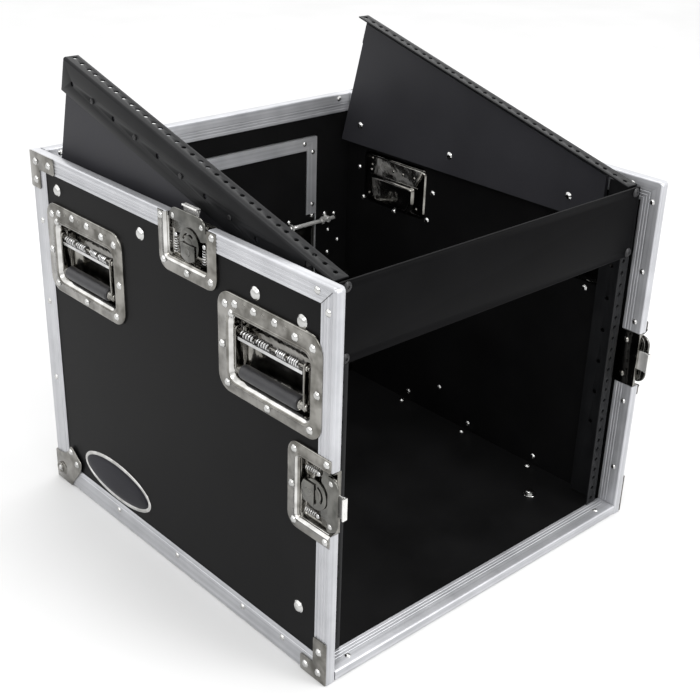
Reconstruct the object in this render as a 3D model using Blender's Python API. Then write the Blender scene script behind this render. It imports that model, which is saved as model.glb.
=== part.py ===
"""Equipment rack case: the base of a combo case with an upright and a slanted 19-inch rack bay.

Metres, +Z up. The open front faces -Y, the open top faces +Z, and the origin is in the middle of
the footprint on the ground.
"""
import math

import bmesh
import bpy
from mathutils import Euler, Matrix, Vector

# Outer box over the aluminium edges
WIDTH = 0.533
DEPTH = 0.564
HEIGHT = 0.468
HX = WIDTH / 2
HY = DEPTH / 2

GAP = 0.0003          # clearance between pieces that rest on each other
SHEET = 0.0015        # wall of the aluminium extrusions and pressed dishes
PLY = 0.0094          # plywood of the box
WEB = 0.0130          # width of a channel that wraps a panel edge
LIP = 0.0210          # outer flange of the open edges
INNER = 0.0280        # inner flange of the open edges
ANGLE = 0.0320        # flange of the closed edges

PANEL_OUT = HX - SHEET - GAP
PANEL_IN = PANEL_OUT - PLY
BACK_OUT = HY - SHEET - GAP
BACK_IN = BACK_OUT - PLY
FLOOR_LOW = SHEET + GAP
FLOOR_TOP = FLOOR_LOW + PLY
PANEL_TOP = HEIGHT - SHEET - GAP

# 19-inch rack pattern
RACK_UNIT = 0.04445
HOLE_STEPS = (0.00635, 0.022225, 0.0381)
HOLE_X = 0.23255      # half of 465.1 mm between the hole columns
HOLE_R = 0.0025
RAIL_IN = 0.2245
RAIL_OUT = 0.2445
RAIL_T = 0.0020
RAIL_SIDE = 0.0420    # depth of a rail's side flange
SIDE_HOLE = 0.0240    # its screw line, from the hole flange

PLATE_Y = -0.2600     # front face of the blank plate
PLATE_T = 0.0030
RAIL_Y = PLATE_Y + PLATE_T + GAP
BAY_TOP = 0.4609      # upper end of the upright rack units
BAY_UNITS = 10
RAIL_LOW = 0.0142
RAIL_HIGH = 0.4585

SLOPE = math.radians(14.8)
SLANT_UNITS = 11
SLANT_Y = -0.2535     # front end of the slanted rails
SLANT_Z = 0.4617
SLANT_FIRST = 0.00455
SLANT_LEN = SLANT_FIRST + SLANT_UNITS * RACK_UNIT
BOARD_T = 0.0059
BOARD_OUT = RAIL_OUT - RAIL_T - GAP

# Handle hardware, the same four times
HANDLE_Z = 0.3535
HANDLE_HALF = (0.0835, 0.0595)
HANDLE_R = 0.0170
DISH_LOW = 0.3130
DISH_HIGH = 0.3865
DISH_HALF = 0.0620
DISH_FLOOR = 0.2530
BOWL_FLOOR = 0.2470   # deeper bowl behind the grip, for the fingers
BOWL_HALF = 0.0440
BOWL_LOW = 0.3165
BOWL_HIGH = 0.3555
BOWL_R = 0.0170
PIVOT_X = 0.2620
PIVOT_Z = 0.3690
GRIP_Z = 0.3255
ARM_IN = 0.0538       # the two flat arms of the bail
ARM_OUT = 0.0562
ARM_HALF = 0.0045
ARM_TIP = 0.0060
ROD_R = 0.0032
AXLE_R = 0.0020
GRIP_R = 0.0082
GRIP_HALF = 0.0465
HANDLES = (("front", -0.1825, -HY + LIP + GAP, 1.0), ("back", 0.1685, -1.0, HY - ANGLE - GAP))

# Twist latch hardware; u runs along the edge, w out over it
LATCH_HALF = 0.0520
LATCH_R = 0.0150
LATCH_DEEP = 0.0670
TRAY_HALF = 0.0355
TRAY_DEEP = 0.0480
TRAY_FLOOR = -0.0085
ROTOR_W = -0.0270
ROTOR_R = 0.0175
WING_HALF = 0.0125
WING_R = 0.0200
COVER_HALF = 0.0330
COVER_IN = -0.0195
COVER_OUT = 0.0040     # the covers on the case reach past the edge
REAR_COVER_OUT = -0.0012
HOOK_HALF = 0.0130
HOOK_IN = -0.0070
HOOK_OUT = 0.0145
HOOK_END = 0.0018       # thickness of the turned end
# heights below the outer face of the panel
HOOK_LEVEL = (-0.0081, -0.0063)
HOOK_LIP = 0.0036
COVER_LEVEL = (-0.0058, -0.0042)
DISC_LEVEL = (-0.0038, -0.0022)
WING_LEVEL = (-0.0018, -0.0002)
LATCH_TOP_Y = -0.0460
LATCH_FRONT_Z = 0.2320

# Rear access door
DOOR_X = 0.1900
DOOR_LOW = 0.0570
DOOR_HIGH = 0.4110
DOOR_MID = (DOOR_LOW + DOOR_HIGH) / 2
TRIM = 0.0190

for old in list(bpy.data.objects):
    bpy.data.objects.remove(old, do_unlink=True)

PARTS = bpy.data.collections.new("equipment_rack_case")
CUTTERS = bpy.data.collections.new("cutters")
bpy.context.scene.collection.children.link(PARTS)
bpy.context.scene.collection.children.link(CUTTERS)


def material(name, colour, roughness, metallic):
    """Return a new Principled material."""
    mat = bpy.data.materials.new(name)
    mat.use_nodes = True
    shader = mat.node_tree.nodes["Principled BSDF"]
    shader.inputs["Base Color"].default_value = (*colour, 1.0)
    shader.inputs["Roughness"].default_value = roughness
    shader.inputs["Metallic"].default_value = metallic
    return mat


LAMINATE = material("black_laminate", (0.018, 0.018, 0.018), 0.42, 0.0)
BOARD = material("charcoal_board", (0.045, 0.045, 0.050), 0.55, 0.0)
ALUMINIUM = material("aluminium_edge", (0.72, 0.73, 0.75), 0.32, 1.0)
RAIL = material("black_rail_steel", (0.030, 0.032, 0.034), 0.45, 0.3)
PLATE = material("black_plate_steel", (0.016, 0.016, 0.017), 0.38, 0.3)
CHROME = material("plated_steel", (0.62, 0.62, 0.62), 0.16, 1.0)
ZINC = material("zinc_hardware", (0.56, 0.56, 0.55), 0.28, 1.0)
RUBBER = material("black_rubber", (0.020, 0.020, 0.022), 0.60, 0.0)
BADGE = material("badge_metal", (0.50, 0.50, 0.52), 0.25, 1.0)


def add(name, mesh, matrix, mat, coll):
    """Link a mesh as a new object and return it."""
    ob = bpy.data.objects.new(name, mesh)
    ob.matrix_world = matrix
    coll.objects.link(ob)
    if mat is not None:
        mesh.materials.append(mat)
    if coll is CUTTERS:
        ob.hide_render = True
        ob.display_type = "WIRE"
    return ob


def box(name, lo, hi, mat=None, coll=PARTS, frame=None):
    """Axis-aligned block between two corners, in an optional frame."""
    mid = [(a + b) / 2 for a, b in zip(lo, hi)]
    size = [abs(b - a) for a, b in zip(lo, hi)]
    mesh = bpy.data.meshes.new(name)
    bm = bmesh.new()
    bmesh.ops.create_cube(bm, size=1.0)
    bmesh.ops.scale(bm, vec=size, verts=bm.verts)
    bm.to_mesh(mesh)
    bm.free()
    matrix = Matrix.Translation(mid)
    return add(name, mesh, frame @ matrix if frame else matrix, mat, coll)


def cylinder(name, axis, centre, radius, span, mat=None, coll=PARTS, segments=16, frame=None):
    """Solid cylinder along an axis from span[0] to span[1]; centre is the other two coordinates."""
    mesh = bpy.data.meshes.new(name)
    bm = bmesh.new()
    bmesh.ops.create_cone(bm, cap_ends=True, segments=segments, radius1=radius, radius2=radius,
                          depth=abs(span[1] - span[0]))
    bm.to_mesh(mesh)
    bm.free()
    mesh.shade_smooth()
    mesh.set_sharp_from_angle(angle=math.radians(40))
    mid = (span[0] + span[1]) / 2
    place = {"X": (mid, *centre), "Y": (centre[0], mid, centre[1]), "Z": (*centre, mid)}[axis]
    turn = {"X": (0, math.pi / 2, 0), "Y": (math.pi / 2, 0, 0), "Z": (0, 0, 0)}[axis]
    matrix = Matrix.Translation(place) @ Euler(turn).to_matrix().to_4x4()
    return add(name, mesh, frame @ matrix if frame else matrix, mat, coll)


def curve_to_mesh(name, curve, matrix, mat, coll):
    """Turn a curve into a welded mesh object at the same place."""
    temp = bpy.data.objects.new(name + "_curve", curve)
    temp.matrix_world = matrix
    bpy.context.scene.collection.objects.link(temp)
    bpy.context.view_layer.update()
    graph = bpy.context.evaluated_depsgraph_get()
    mesh = bpy.data.meshes.new_from_object(temp.evaluated_get(graph))
    mesh.name = name
    bm = bmesh.new()
    bm.from_mesh(mesh)
    bmesh.ops.remove_doubles(bm, verts=bm.verts, dist=0.00001)
    bmesh.ops.recalc_face_normals(bm, faces=bm.faces)
    bm.to_mesh(mesh)
    bm.free()
    mesh.materials.clear()
    bpy.data.objects.remove(temp, do_unlink=True)
    bpy.data.curves.remove(curve)
    return add(name, mesh, matrix, mat, coll)


def prism(name, loops, axis, span, mat=None, coll=PARTS, frame=None):
    """Flat outline with optional holes, extruded along an axis from span[0] to span[1].

    The outline's two coordinates are (y, z) for X, (x, z) for Y and (x, y) for Z.
    """
    curve = bpy.data.curves.new(name, "CURVE")
    curve.dimensions = "2D"
    curve.fill_mode = "BOTH"
    curve.extrude = abs(span[1] - span[0]) / 2
    for loop in loops:
        spline = curve.splines.new("POLY")
        spline.points.add(len(loop) - 1)
        for point, (a, b) in zip(spline.points, loop):
            point.co = (a, b, 0.0, 1.0)
        spline.use_cyclic_u = True
    mid = (span[0] + span[1]) / 2
    turn = {"X": (math.pi / 2, 0, math.pi / 2), "Y": (math.pi / 2, 0, 0), "Z": (0, 0, 0)}[axis]
    place = {"X": (mid, 0, 0), "Y": (0, mid, 0), "Z": (0, 0, mid)}[axis]
    matrix = Matrix.Translation(place) @ Euler(turn).to_matrix().to_4x4()
    return curve_to_mesh(name, curve, frame @ matrix if frame else matrix, mat, coll)


def boolean(target, other, operation):
    """Add an exact Boolean modifier."""
    mod = target.modifiers.new(operation.lower(), "BOOLEAN")
    mod.operation = operation
    mod.solver = "EXACT"
    mod.object = other


def cut(target, *cutters):
    """Take the cutters away from the target."""
    for other in cutters:
        boolean(target, other, "DIFFERENCE")


def fuse(target, *others):
    """Join the other solids to the target."""
    for other in others:
        boolean(target, other, "UNION")


def rect(a0, b0, a1, b1):
    """Corners of a rectangle."""
    return [(a0, b0), (a1, b0), (a1, b1), (a0, b1)]


def rounded(a0, b0, a1, b1, radius, steps=3):
    """Rectangle with rounded corners."""
    a0, a1 = sorted((a0, a1))
    b0, b1 = sorted((b0, b1))
    points = []
    corners = ((a1 - radius, b1 - radius), (a0 + radius, b1 - radius),
               (a0 + radius, b0 + radius), (a1 - radius, b0 + radius))
    for index, (ca, cb) in enumerate(corners):
        for step in range(steps + 1):
            angle = math.pi / 2 * (index + step / steps)
            points.append((ca + radius * math.cos(angle), cb + radius * math.sin(angle)))
    return points


def circle(ca, cb, radius, steps=8):
    """Points round a circle, with flats square to the axes."""
    turn = math.pi / steps
    return [(ca + radius * math.cos(turn + 2 * math.pi * i / steps),
             cb + radius * math.sin(turn + 2 * math.pi * i / steps)) for i in range(steps)]


def mirrored(points, side):
    """Flip the first coordinate for the left-hand side."""
    return [(side * a, b) for a, b in points]


def set_origin(ob, point):
    """Move the object's origin without moving its surface."""
    local = ob.matrix_world.inverted() @ Vector(point)
    ob.data.transform(Matrix.Translation(-local))
    matrix = ob.matrix_world.copy()
    matrix.translation = Vector(point)
    ob.matrix_world = matrix


def empty(name, point):
    """Empty that carries a moving group."""
    ob = bpy.data.objects.new(name, None)
    ob.location = point
    ob.empty_display_size = 0.02
    PARTS.objects.link(ob)
    bpy.context.view_layer.update()
    return ob


def carry(parent, *children):
    """Parent the pieces to the empty where they are."""
    bpy.context.view_layer.update()
    for child in children:
        keep = child.matrix_world.copy()
        child.parent = parent
        child.matrix_parent_inverse = parent.matrix_world.inverted()
        child.matrix_world = keep


# ---------------------------------------------------------------- panels
def side_panel(name, side):
    """Plywood side with the cut-outs for two handles and two latches."""
    half = TRAY_HALF + 0.0025
    deep = TRAY_DEEP + 0.0023
    low = LATCH_FRONT_Z - half
    high = LATCH_FRONT_Z + half
    outline = [
        (-BACK_OUT, FLOOR_LOW), (BACK_OUT, FLOOR_LOW), (BACK_OUT, PANEL_TOP),
        (LATCH_TOP_Y + half, PANEL_TOP), (LATCH_TOP_Y + half, HEIGHT - deep),
        (LATCH_TOP_Y - half, HEIGHT - deep), (LATCH_TOP_Y - half, PANEL_TOP),
        (-BACK_OUT + 0.0030, PANEL_TOP), (-BACK_OUT, PANEL_TOP - 0.0030), (-BACK_OUT, high),
        (-HY + deep, high), (-HY + deep, low), (-BACK_OUT, low)]
    loops = [outline]
    for _, centre, _, _ in HANDLES:
        edge = DISH_HALF + 0.0020
        loops.append(rounded(centre - edge, DISH_LOW - 0.0020, centre + edge,
                             DISH_HIGH + 0.0020, 0.0090))
    return prism(name, loops, "X", (side * PANEL_IN, side * PANEL_OUT), LAMINATE)


side_panel("side_panel_left", -1)
side_panel("side_panel_right", 1)
BACK_X = PANEL_IN - GAP
opening = rect(-DOOR_X - 0.0015, DOOR_LOW - 0.0015, DOOR_X + 0.0015, DOOR_HIGH + 0.0015)
prism("back_panel", [rect(-BACK_X, FLOOR_LOW, BACK_X, PANEL_TOP), opening], "Y",
      (BACK_IN, BACK_OUT), LAMINATE)
box("bottom_panel", (-BACK_X, -BACK_OUT, FLOOR_LOW), (BACK_X, BACK_IN - GAP, FLOOR_TOP), LAMINATE)


# ---------------------------------------------------------------- aluminium edges
def side_edge(name, side):
    """Channel along the top edge, bent round the front corner and down the front edge."""
    bend = 0.0050

    def corner(inset, width, back, low):
        """Outline of an L band, inset from the outer edge and this wide."""
        radius = bend - inset
        top = HEIGHT - inset
        front = -HY + inset
        arc = [(front + radius - radius * math.sin(math.pi / 6 * i),
                top - radius + radius * math.cos(math.pi / 6 * i)) for i in range(4)]
        return [(back, top), *arc, (front, low), (-HY + width, low),
                (-HY + width, HEIGHT - width), (back, HEIGHT - width)]

    wall = side * (HX - WEB + SHEET)
    edge = prism(name, [corner(0.0, INNER, HY, 0.0)], "X", (side * (HX - WEB), side * HX), ALUMINIUM)
    hollow = prism(name + "_hollow", [corner(SHEET, INNER + 0.001, HY + 0.001, -0.001)], "X",
                   (wall, side * (HX - SHEET)), None, CUTTERS)
    step = box(name + "_step", (wall, -HY + LIP, -0.001), (side * (HX + 0.001), HY + 0.001, HEIGHT - LIP),
               None, CUTTERS)
    low = box(name + "_low", (side * (HX - WEB - 0.001), -HY + SHEET, -0.001),
              (side * (HX - WEB + SHEET + 0.001), 0.0, FLOOR_TOP + GAP), None, CUTTERS)
    back = box(name + "_back", (side * (HX - WEB - 0.001), BACK_IN - 2 * GAP, 0.4),
               (side * (HX - WEB + SHEET + 0.001), HY + 0.001, HEIGHT - SHEET), None, CUTTERS)
    cut(edge, hollow, step, low, back)
    half = TRAY_HALF + 0.0020
    near = side * (HX - WEB + 0.0025)
    far = side * (HX + 0.0010)
    top = box(name + "_notch_top", (near, LATCH_TOP_Y - half, HEIGHT - LIP - 0.001),
              (far, LATCH_TOP_Y + half, HEIGHT + 0.001), None, CUTTERS)
    front = box(name + "_notch_front", (near, -HY - 0.001, LATCH_FRONT_Z - half),
                (far, -HY + LIP + 0.001, LATCH_FRONT_Z + half), None, CUTTERS)
    cut(edge, top, front)


side_edge("side_edge_left", -1)
side_edge("side_edge_right", 1)

EDGE_X = HX - WEB - GAP
back_top_profile = [
    (HY, HEIGHT), (HY, HEIGHT - LIP), (HY - SHEET, HEIGHT - LIP), (HY - SHEET, HEIGHT - SHEET),
    (HY - WEB + SHEET, HEIGHT - SHEET), (HY - WEB + SHEET, HEIGHT - INNER),
    (HY - WEB, HEIGHT - INNER), (HY - WEB, HEIGHT)]
prism("edge_back_top", [back_top_profile], "X", (-EDGE_X, EDGE_X), ALUMINIUM)

front_low_profile = [
    (-HY, 0.0), (-HY + LIP, 0.0), (-HY + LIP, SHEET), (-HY + SHEET, SHEET),
    (-HY + SHEET, WEB - SHEET), (-HY + INNER, WEB - SHEET), (-HY + INNER, WEB), (-HY, WEB)]
prism("edge_bottom_front", [front_low_profile], "X", (-EDGE_X, EDGE_X), ALUMINIUM)


def angle_profile(a, b, da, db):
    """L outline with its outer corner at (a, b) and legs towards (da, db)."""
    return [(a, b), (a + da * ANGLE, b), (a + da * ANGLE, b + db * SHEET),
            (a + da * SHEET, b + db * SHEET), (a + da * SHEET, b + db * ANGLE),
            (a, b + db * ANGLE)]


for label, side in (("left", -1), ("right", 1)):
    prism("edge_bottom_" + label, [angle_profile(side * HX, 0.0, -side, 1)], "Y",
          (-HY + LIP + GAP, BACK_OUT), ALUMINIUM)
    prism("edge_back_" + label, [angle_profile(side * HX, HY, -side, -1)], "Z",
          (ANGLE + GAP, HEIGHT - LIP - GAP), ALUMINIUM)
prism("edge_bottom_back", [angle_profile(HY, 0.0, -1, 1)], "X",
      (-HX + ANGLE + GAP, HX - ANGLE - GAP), ALUMINIUM)


# ---------------------------------------------------------------- corner hardware
CAP_IN = HX + GAP
CAP_OUT = CAP_IN + SHEET
CAP_LEG = 0.0620
BALL_R = 0.0150


def ball_corner(name, side):
    """Plates on the side and the back, joined by a rounded ball at the corner."""
    leg = HY + GAP + SHEET - CAP_LEG
    outline = [(HY + GAP + SHEET, 0.0), (leg, 0.0), (leg, 0.030), (HY - 0.034, CAP_LEG),
               (HY + GAP + SHEET, CAP_LEG)]
    plate = prism(name, [outline], "X", (side * CAP_IN, side * CAP_OUT), CHROME)
    across = CAP_OUT - CAP_LEG
    back = prism(name + "_back",
                 [mirrored([(CAP_OUT, 0.0), (CAP_OUT, CAP_LEG), (HX - 0.034, CAP_LEG),
                            (across, 0.030), (across, 0.0)], side)],
                 "Y", (HY + GAP, HY + GAP + SHEET), None, CUTTERS)
    mesh = bpy.data.meshes.new(name + "_ball")
    bm = bmesh.new()
    bmesh.ops.create_uvsphere(bm, u_segments=16, v_segments=10, radius=BALL_R)
    bm.to_mesh(mesh)
    bm.free()
    mesh.shade_smooth()
    centre = (side * (HX - BALL_R + 0.0050), HY - BALL_R + 0.0050, 0.0120)
    ball = add(name + "_ball", mesh, Matrix.Translation(centre), None, CUTTERS)
    fuse(plate, back, ball)
    inside = box(name + "_inside", (0.0, 0.0, -0.001), (side * CAP_IN, HY + GAP, 0.2),
                 None, CUTTERS)
    under = box(name + "_under", (side * 0.1, 0.1, -0.05), (side * 0.4, 0.4, 0.0), None, CUTTERS)
    cut(plate, inside, under)


def flat_bracket(name, side, corner, da, db, leg_a, leg_b):
    """Flat L plate riveted over a corner of the side."""
    ca, cb = corner
    arm = LIP + 0.0010
    outline = [(ca, cb), (ca + da * leg_a, cb), (ca + da * leg_a, cb + db * arm),
               (ca + da * (arm + 0.004), cb + db * arm), (ca + da * arm, cb + db * (arm + 0.004)),
               (ca + da * arm, cb + db * leg_b), (ca, cb + db * leg_b)]
    prism(name, [outline], "X", (side * CAP_IN, side * CAP_OUT), CHROME)


for label, side in (("left", -1), ("right", 1)):
    ball_corner("ball_corner_" + label, side)
    flat_bracket("bracket_front_" + label, side, (-HY, 0.0), 1, 1, 0.0420, 0.0560)
    flat_bracket("bracket_back_" + label, side, (HY, HEIGHT), -1, -1, 0.0560, 0.0460)


# ---------------------------------------------------------------- rack rails, boards and plate
def sleeve(name, side, y, z, inner):
    """Stand-off sleeve that holds a rail or board away from the side wall."""
    return cylinder(name, "X", (y, z), 0.0060, (side * inner, side * (PANEL_IN - GAP)), None,
                    CUTTERS, 12)


def front_rail(name, side):
    """Upright L rail: hole flange facing front, side flange along the wall."""
    holes = [circle(side * HOLE_X, BAY_TOP - RACK_UNIT * unit - step, HOLE_R)
             for unit in range(BAY_UNITS) for step in HOLE_STEPS]
    flange = prism(name, [rect(side * RAIL_IN, RAIL_LOW, side * RAIL_OUT, RAIL_HIGH), *holes],
                   "Y", (RAIL_Y, RAIL_Y + RAIL_T), RAIL)
    back = RAIL_Y + RAIL_SIDE
    line = RAIL_Y + SIDE_HOLE
    slots = [circle(line, BAY_TOP - RACK_UNIT * (unit + 0.5), HOLE_R + 0.0008)
             for unit in range(1, BAY_UNITS - 2)]
    wall = prism(name + "_side", [rect(RAIL_Y, RAIL_LOW, back, RAIL_HIGH), *slots], "X",
                 (side * (RAIL_OUT - RAIL_T), side * RAIL_OUT), None, CUTTERS)
    fuse(flange, wall, sleeve(name + "_sleeve_top", side, line, 0.4180, RAIL_OUT - 0.001),
         sleeve(name + "_sleeve_low", side, line, 0.0780, RAIL_OUT - 0.001))


def slant_rail(name, side):
    """L rail that rises to the back, hole flange on top and side flange outside the board."""
    frame = Matrix.Translation((0, SLANT_Y, SLANT_Z)) @ Matrix.Rotation(SLOPE, 4, "X")
    holes = [circle(side * HOLE_X, SLANT_FIRST + RACK_UNIT * unit + step, HOLE_R)
             for unit in range(SLANT_UNITS) for step in HOLE_STEPS]
    flange = prism(name, [rect(side * RAIL_IN, 0.0, side * RAIL_OUT, SLANT_LEN), *holes], "Z",
                   (-RAIL_T, 0.0), RAIL, PARTS, frame)
    slots = [circle(SLANT_FIRST + RACK_UNIT * (unit + 0.5), -SIDE_HOLE, HOLE_R + 0.0008)
             for unit in range(1, SLANT_UNITS)]
    wall = prism(name + "_side", [rect(0.0414, -RAIL_SIDE, SLANT_LEN, 0.0), *slots], "X",
                 (side * (RAIL_OUT - RAIL_T), side * RAIL_OUT), None, CUTTERS, frame)
    fuse(flange, wall)


def slant_board(name, side):
    """Tapered board under a slanted rail, bolted to the wall through three sleeves."""
    drop = 0.0098
    low = 0.4000
    front = SLANT_Y + 0.0405
    back = 0.2190
    slope = math.tan(SLOPE)
    top_front = SLANT_Z + slope * (front - SLANT_Y) - drop
    top_back = SLANT_Z + slope * (back - SLANT_Y) - drop
    outline = [(front, low), (back + (top_back - low) * slope, low), (back, top_back),
               (front, top_front)]
    board = prism(name, [outline], "X", (side * (BOARD_OUT - BOARD_T), side * BOARD_OUT), BOARD)
    spots = ((-0.160, 0.4230), (0.046, 0.4260), (0.226, 0.4290))
    fuse(board, *[sleeve("%s_sleeve_%d" % (name, i), side, y, z, BOARD_OUT - 0.001)
                  for i, (y, z) in enumerate(spots)])


for label, side in (("left", -1), ("right", 1)):
    front_rail("front_rail_" + label, side)
    slant_rail("slant_rail_" + label, side)
    slant_board("slant_board_" + label, side)

plate_low = BAY_TOP - 2 * RACK_UNIT + 0.0004
plate_slots = [rounded(side * HOLE_X - 0.0050, z - 0.0032, side * HOLE_X + 0.0050, z + 0.0032, 0.0031)
               for side in (-1, 1)
               for z in (BAY_TOP - HOLE_STEPS[0], BAY_TOP - RACK_UNIT - HOLE_STEPS[2])]
prism("blank_plate", [rect(-0.2413, plate_low, 0.2413, BAY_TOP - 0.0004), *plate_slots], "Y",
      (PLATE_Y, PLATE_Y + PLATE_T), PLATE)


# ---------------------------------------------------------------- handles
def handle(name, side, centre, y_low, y_high):
    """Recessed handle: pressed dish, sprung steel bail and rubber grip."""
    half_y, half_z = HANDLE_HALF
    dish = prism(name + "_dish", [rounded(centre - half_y, HANDLE_Z - half_z, centre + half_y,
                                          HANDLE_Z + half_z, HANDLE_R, 4)],
                 "X", (side * (HX - SHEET), side * (HX + 0.0017)), CHROME)
    inner = side * (HX - 0.003)
    outer = side * (HX + GAP)
    if y_low > -1.0:
        lap = ((inner, centre - half_y - 0.001, 0.2), (outer, y_low, 0.5))
    else:
        lap = ((inner, y_high, 0.2), (outer, centre + half_y + 0.001, 0.5))
    over = box(name + "_lap", *lap, None, CUTTERS)
    edge = DISH_HALF + SHEET
    tray = prism(name + "_tray", [rounded(centre - edge, DISH_LOW - SHEET, centre + edge,
                                          DISH_HIGH + SHEET, 0.0095)],
                 "X", (side * (DISH_FLOOR - SHEET), side * (HX + 0.0005)), None, CUTTERS)
    hollow = prism(name + "_hollow", [rounded(centre - DISH_HALF, DISH_LOW, centre + DISH_HALF,
                                              DISH_HIGH, 0.0080)],
                   "X", (side * DISH_FLOOR, side * (HX + 0.0050)), None, CUTTERS)
    bowl = prism(name + "_bowl", [rounded(centre - BOWL_HALF - SHEET, BOWL_LOW - SHEET,
                                          centre + BOWL_HALF + SHEET, BOWL_HIGH + SHEET, BOWL_R + SHEET)],
                 "X", (side * (BOWL_FLOOR - SHEET), side * (DISH_FLOOR - SHEET / 2)), None, CUTTERS)
    scoop = prism(name + "_scoop", [rounded(centre - BOWL_HALF, BOWL_LOW, centre + BOWL_HALF,
                                            BOWL_HIGH, BOWL_R)],
                  "X", (side * BOWL_FLOOR, side * (DISH_FLOOR + SHEET)), None, CUTTERS)
    cut(dish, over)
    fuse(dish, tray, bowl)
    cut(dish, hollow, scoop)

    pivot = (side * PIVOT_X, centre, PIVOT_Z)
    bail = cylinder(name + "_bail", "Y", (pivot[0], GRIP_Z), ROD_R,
                    (centre - ARM_OUT - 0.001, centre + ARM_OUT + 0.001), CHROME, segments=12)
    end = DISH_HALF - GAP
    fuse(bail, cylinder(name + "_axle", "Y", (pivot[0], PIVOT_Z), AXLE_R, (centre - end, centre + end),
                        None, CUTTERS, 12),
         *[box("%s_arm_%d" % (name, way), (pivot[0] - ARM_HALF, centre + way * ARM_IN, GRIP_Z - ARM_TIP),
               (pivot[0] + ARM_HALF, centre + way * ARM_OUT, PIVOT_Z + ARM_TIP), None, CUTTERS)
           for way in (-1, 1)])
    set_origin(bail, pivot)
    grip = prism(name + "_grip", [circle(pivot[0], GRIP_Z, GRIP_R, 20),
                                  circle(pivot[0], GRIP_Z, ROD_R + 0.0006, 12)],
                 "Y", (centre - GRIP_HALF, centre + GRIP_HALF), RUBBER)
    grip.data.shade_smooth()
    grip.data.set_sharp_from_angle(angle=math.radians(40))
    set_origin(grip, pivot)
    carry(empty(name + "_pivot", pivot), bail, grip)


for label, side in (("left", -1), ("right", 1)):
    for place, centre, y_low, y_high in HANDLES:
        handle("handle_%s_%s" % (label, place), side, centre, y_low, y_high)


# ---------------------------------------------------------------- twist latches
def latch_dish(name, axis, side, base, spot, reach):
    """Riveted plate with a recessed tray that is open towards the edge of the panel."""
    def loop(points):
        return [spot(u, w) for u, w in points]

    def span(low, high):
        return (side * (base + low), side * (base + high))

    radius = LATCH_R
    outline = [(LATCH_HALF, 0.0), (LATCH_HALF, -LATCH_DEEP + radius)]
    outline += [(LATCH_HALF - radius + radius * math.cos(a), -LATCH_DEEP + radius + radius * math.sin(a))
                for a in (-math.pi / 6, -math.pi / 3, -math.pi / 2)]
    outline += [(-u, w) for u, w in reversed(outline)]
    dish = prism(name, [loop(outline)], axis, span(-SHEET, 0.0017), CHROME)
    over = prism(name + "_lap", [loop(rect(-0.06, -LIP - GAP, 0.06, 0.001))], axis,
                 span(-0.003, GAP), None, CUTTERS)
    edge = TRAY_HALF + SHEET
    tray = prism(name + "_tray", [loop(rect(-edge, -TRAY_DEEP - SHEET, edge, -GAP))], axis,
                 span(TRAY_FLOOR - SHEET, 0.0010), None, CUTTERS)
    hollow = prism(name + "_hollow", [loop(rect(-TRAY_HALF, -TRAY_DEEP, TRAY_HALF, 0.002))],
                   axis, span(TRAY_FLOOR, 0.004), None, CUTTERS)
    r = 0.0090
    cover_loop = [(-COVER_HALF, COVER_IN), (-COVER_HALF, reach - r),
                  (-COVER_HALF + 0.3 * r, reach - 0.3 * r), (-COVER_HALF + r, reach)]
    cover_loop += [(-u, w) for u, w in reversed(cover_loop)]
    cover = prism(name + "_cover", [loop(cover_loop)], axis, span(*COVER_LEVEL), None, CUTTERS)
    cut(dish, over)
    fuse(dish, tray)
    cut(dish, hollow)
    fuse(dish, cover, *[cylinder("%s_pillar_%d" % (name, i), axis, spot(u, -0.0080), 0.0030,
                                 span(TRAY_FLOOR - 0.0005, COVER_LEVEL[0] + 0.0005), None, CUTTERS, 10)
                        for i, u in enumerate((-0.0230, 0.0230))])
    return dish


def disc_and_post(name, axis, side, base, spot, coll, foot):
    """Turning disc of a latch on its centre post, which reaches down to the level of its foot."""
    centre = spot(0.0, ROTOR_W)
    disc = cylinder(name, axis, centre, ROTOR_R,
                    [side * (base + level) for level in DISC_LEVEL], ZINC, coll, 24)
    post = cylinder(name + "_post", axis, centre, 0.0050,
                    (side * (base + foot), side * (base + DISC_LEVEL[0] + 0.0005)), None, CUTTERS, 12)
    return disc, post


def edge_latch(name, side, spot):
    """Latch on a side panel: dish with cover, turning disc, folding wing and sliding hook."""
    def span(levels):
        return [side * (HX + level) for level in levels]

    latch_dish(name + "_dish", "X", side, HX, spot, COVER_OUT)
    rotor, post = disc_and_post(name + "_rotor", "X", side, HX, spot, PARTS, TRAY_FLOOR + GAP)
    fuse(rotor, post)
    y, z = spot(0.0, ROTOR_W)
    disc_x = side * (HX + DISC_LEVEL[0])
    set_origin(rotor, (disc_x, y, z))
    wide = math.asin(WING_HALF / WING_R)
    turns = [wide * (1 - step / 3) for step in range(7)]
    leaf = [(WING_HALF, ROTOR_W), *[(WING_R * math.sin(a), ROTOR_W - WING_R * math.cos(a)) for a in turns],
            (-WING_HALF, ROTOR_W)]
    wing = prism(name + "_wing", [[spot(u, w) for u, w in leaf]], "X", span(WING_LEVEL), ZINC)
    set_origin(wing, (side * (HX + sum(WING_LEVEL) / 2), y, z))
    carry(empty(name + "_turn", (disc_x, y, z)), rotor, wing)
    hook = prism(name + "_hook",
                 [[spot(u, w) for u, w in rect(-HOOK_HALF, HOOK_IN, HOOK_HALF, HOOK_OUT)]],
                 "X", span(HOOK_LEVEL), ZINC)
    lip = prism(name + "_hook_lip",
                [[spot(u, w) for u, w in rect(-HOOK_HALF, HOOK_OUT - HOOK_END, HOOK_HALF, HOOK_OUT)]],
                "X", span((HOOK_LEVEL[1] - 0.0010, -HOOK_LIP)), None, CUTTERS)
    fuse(hook, lip)
    top_y, top_z = spot(0.0, 0.0)
    set_origin(hook, (side * (HX + HOOK_LEVEL[1]), top_y, top_z))


def on_top(u, w):
    """Latch coordinates on the top edge of a side."""
    return (LATCH_TOP_Y + u, HEIGHT + w)


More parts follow.
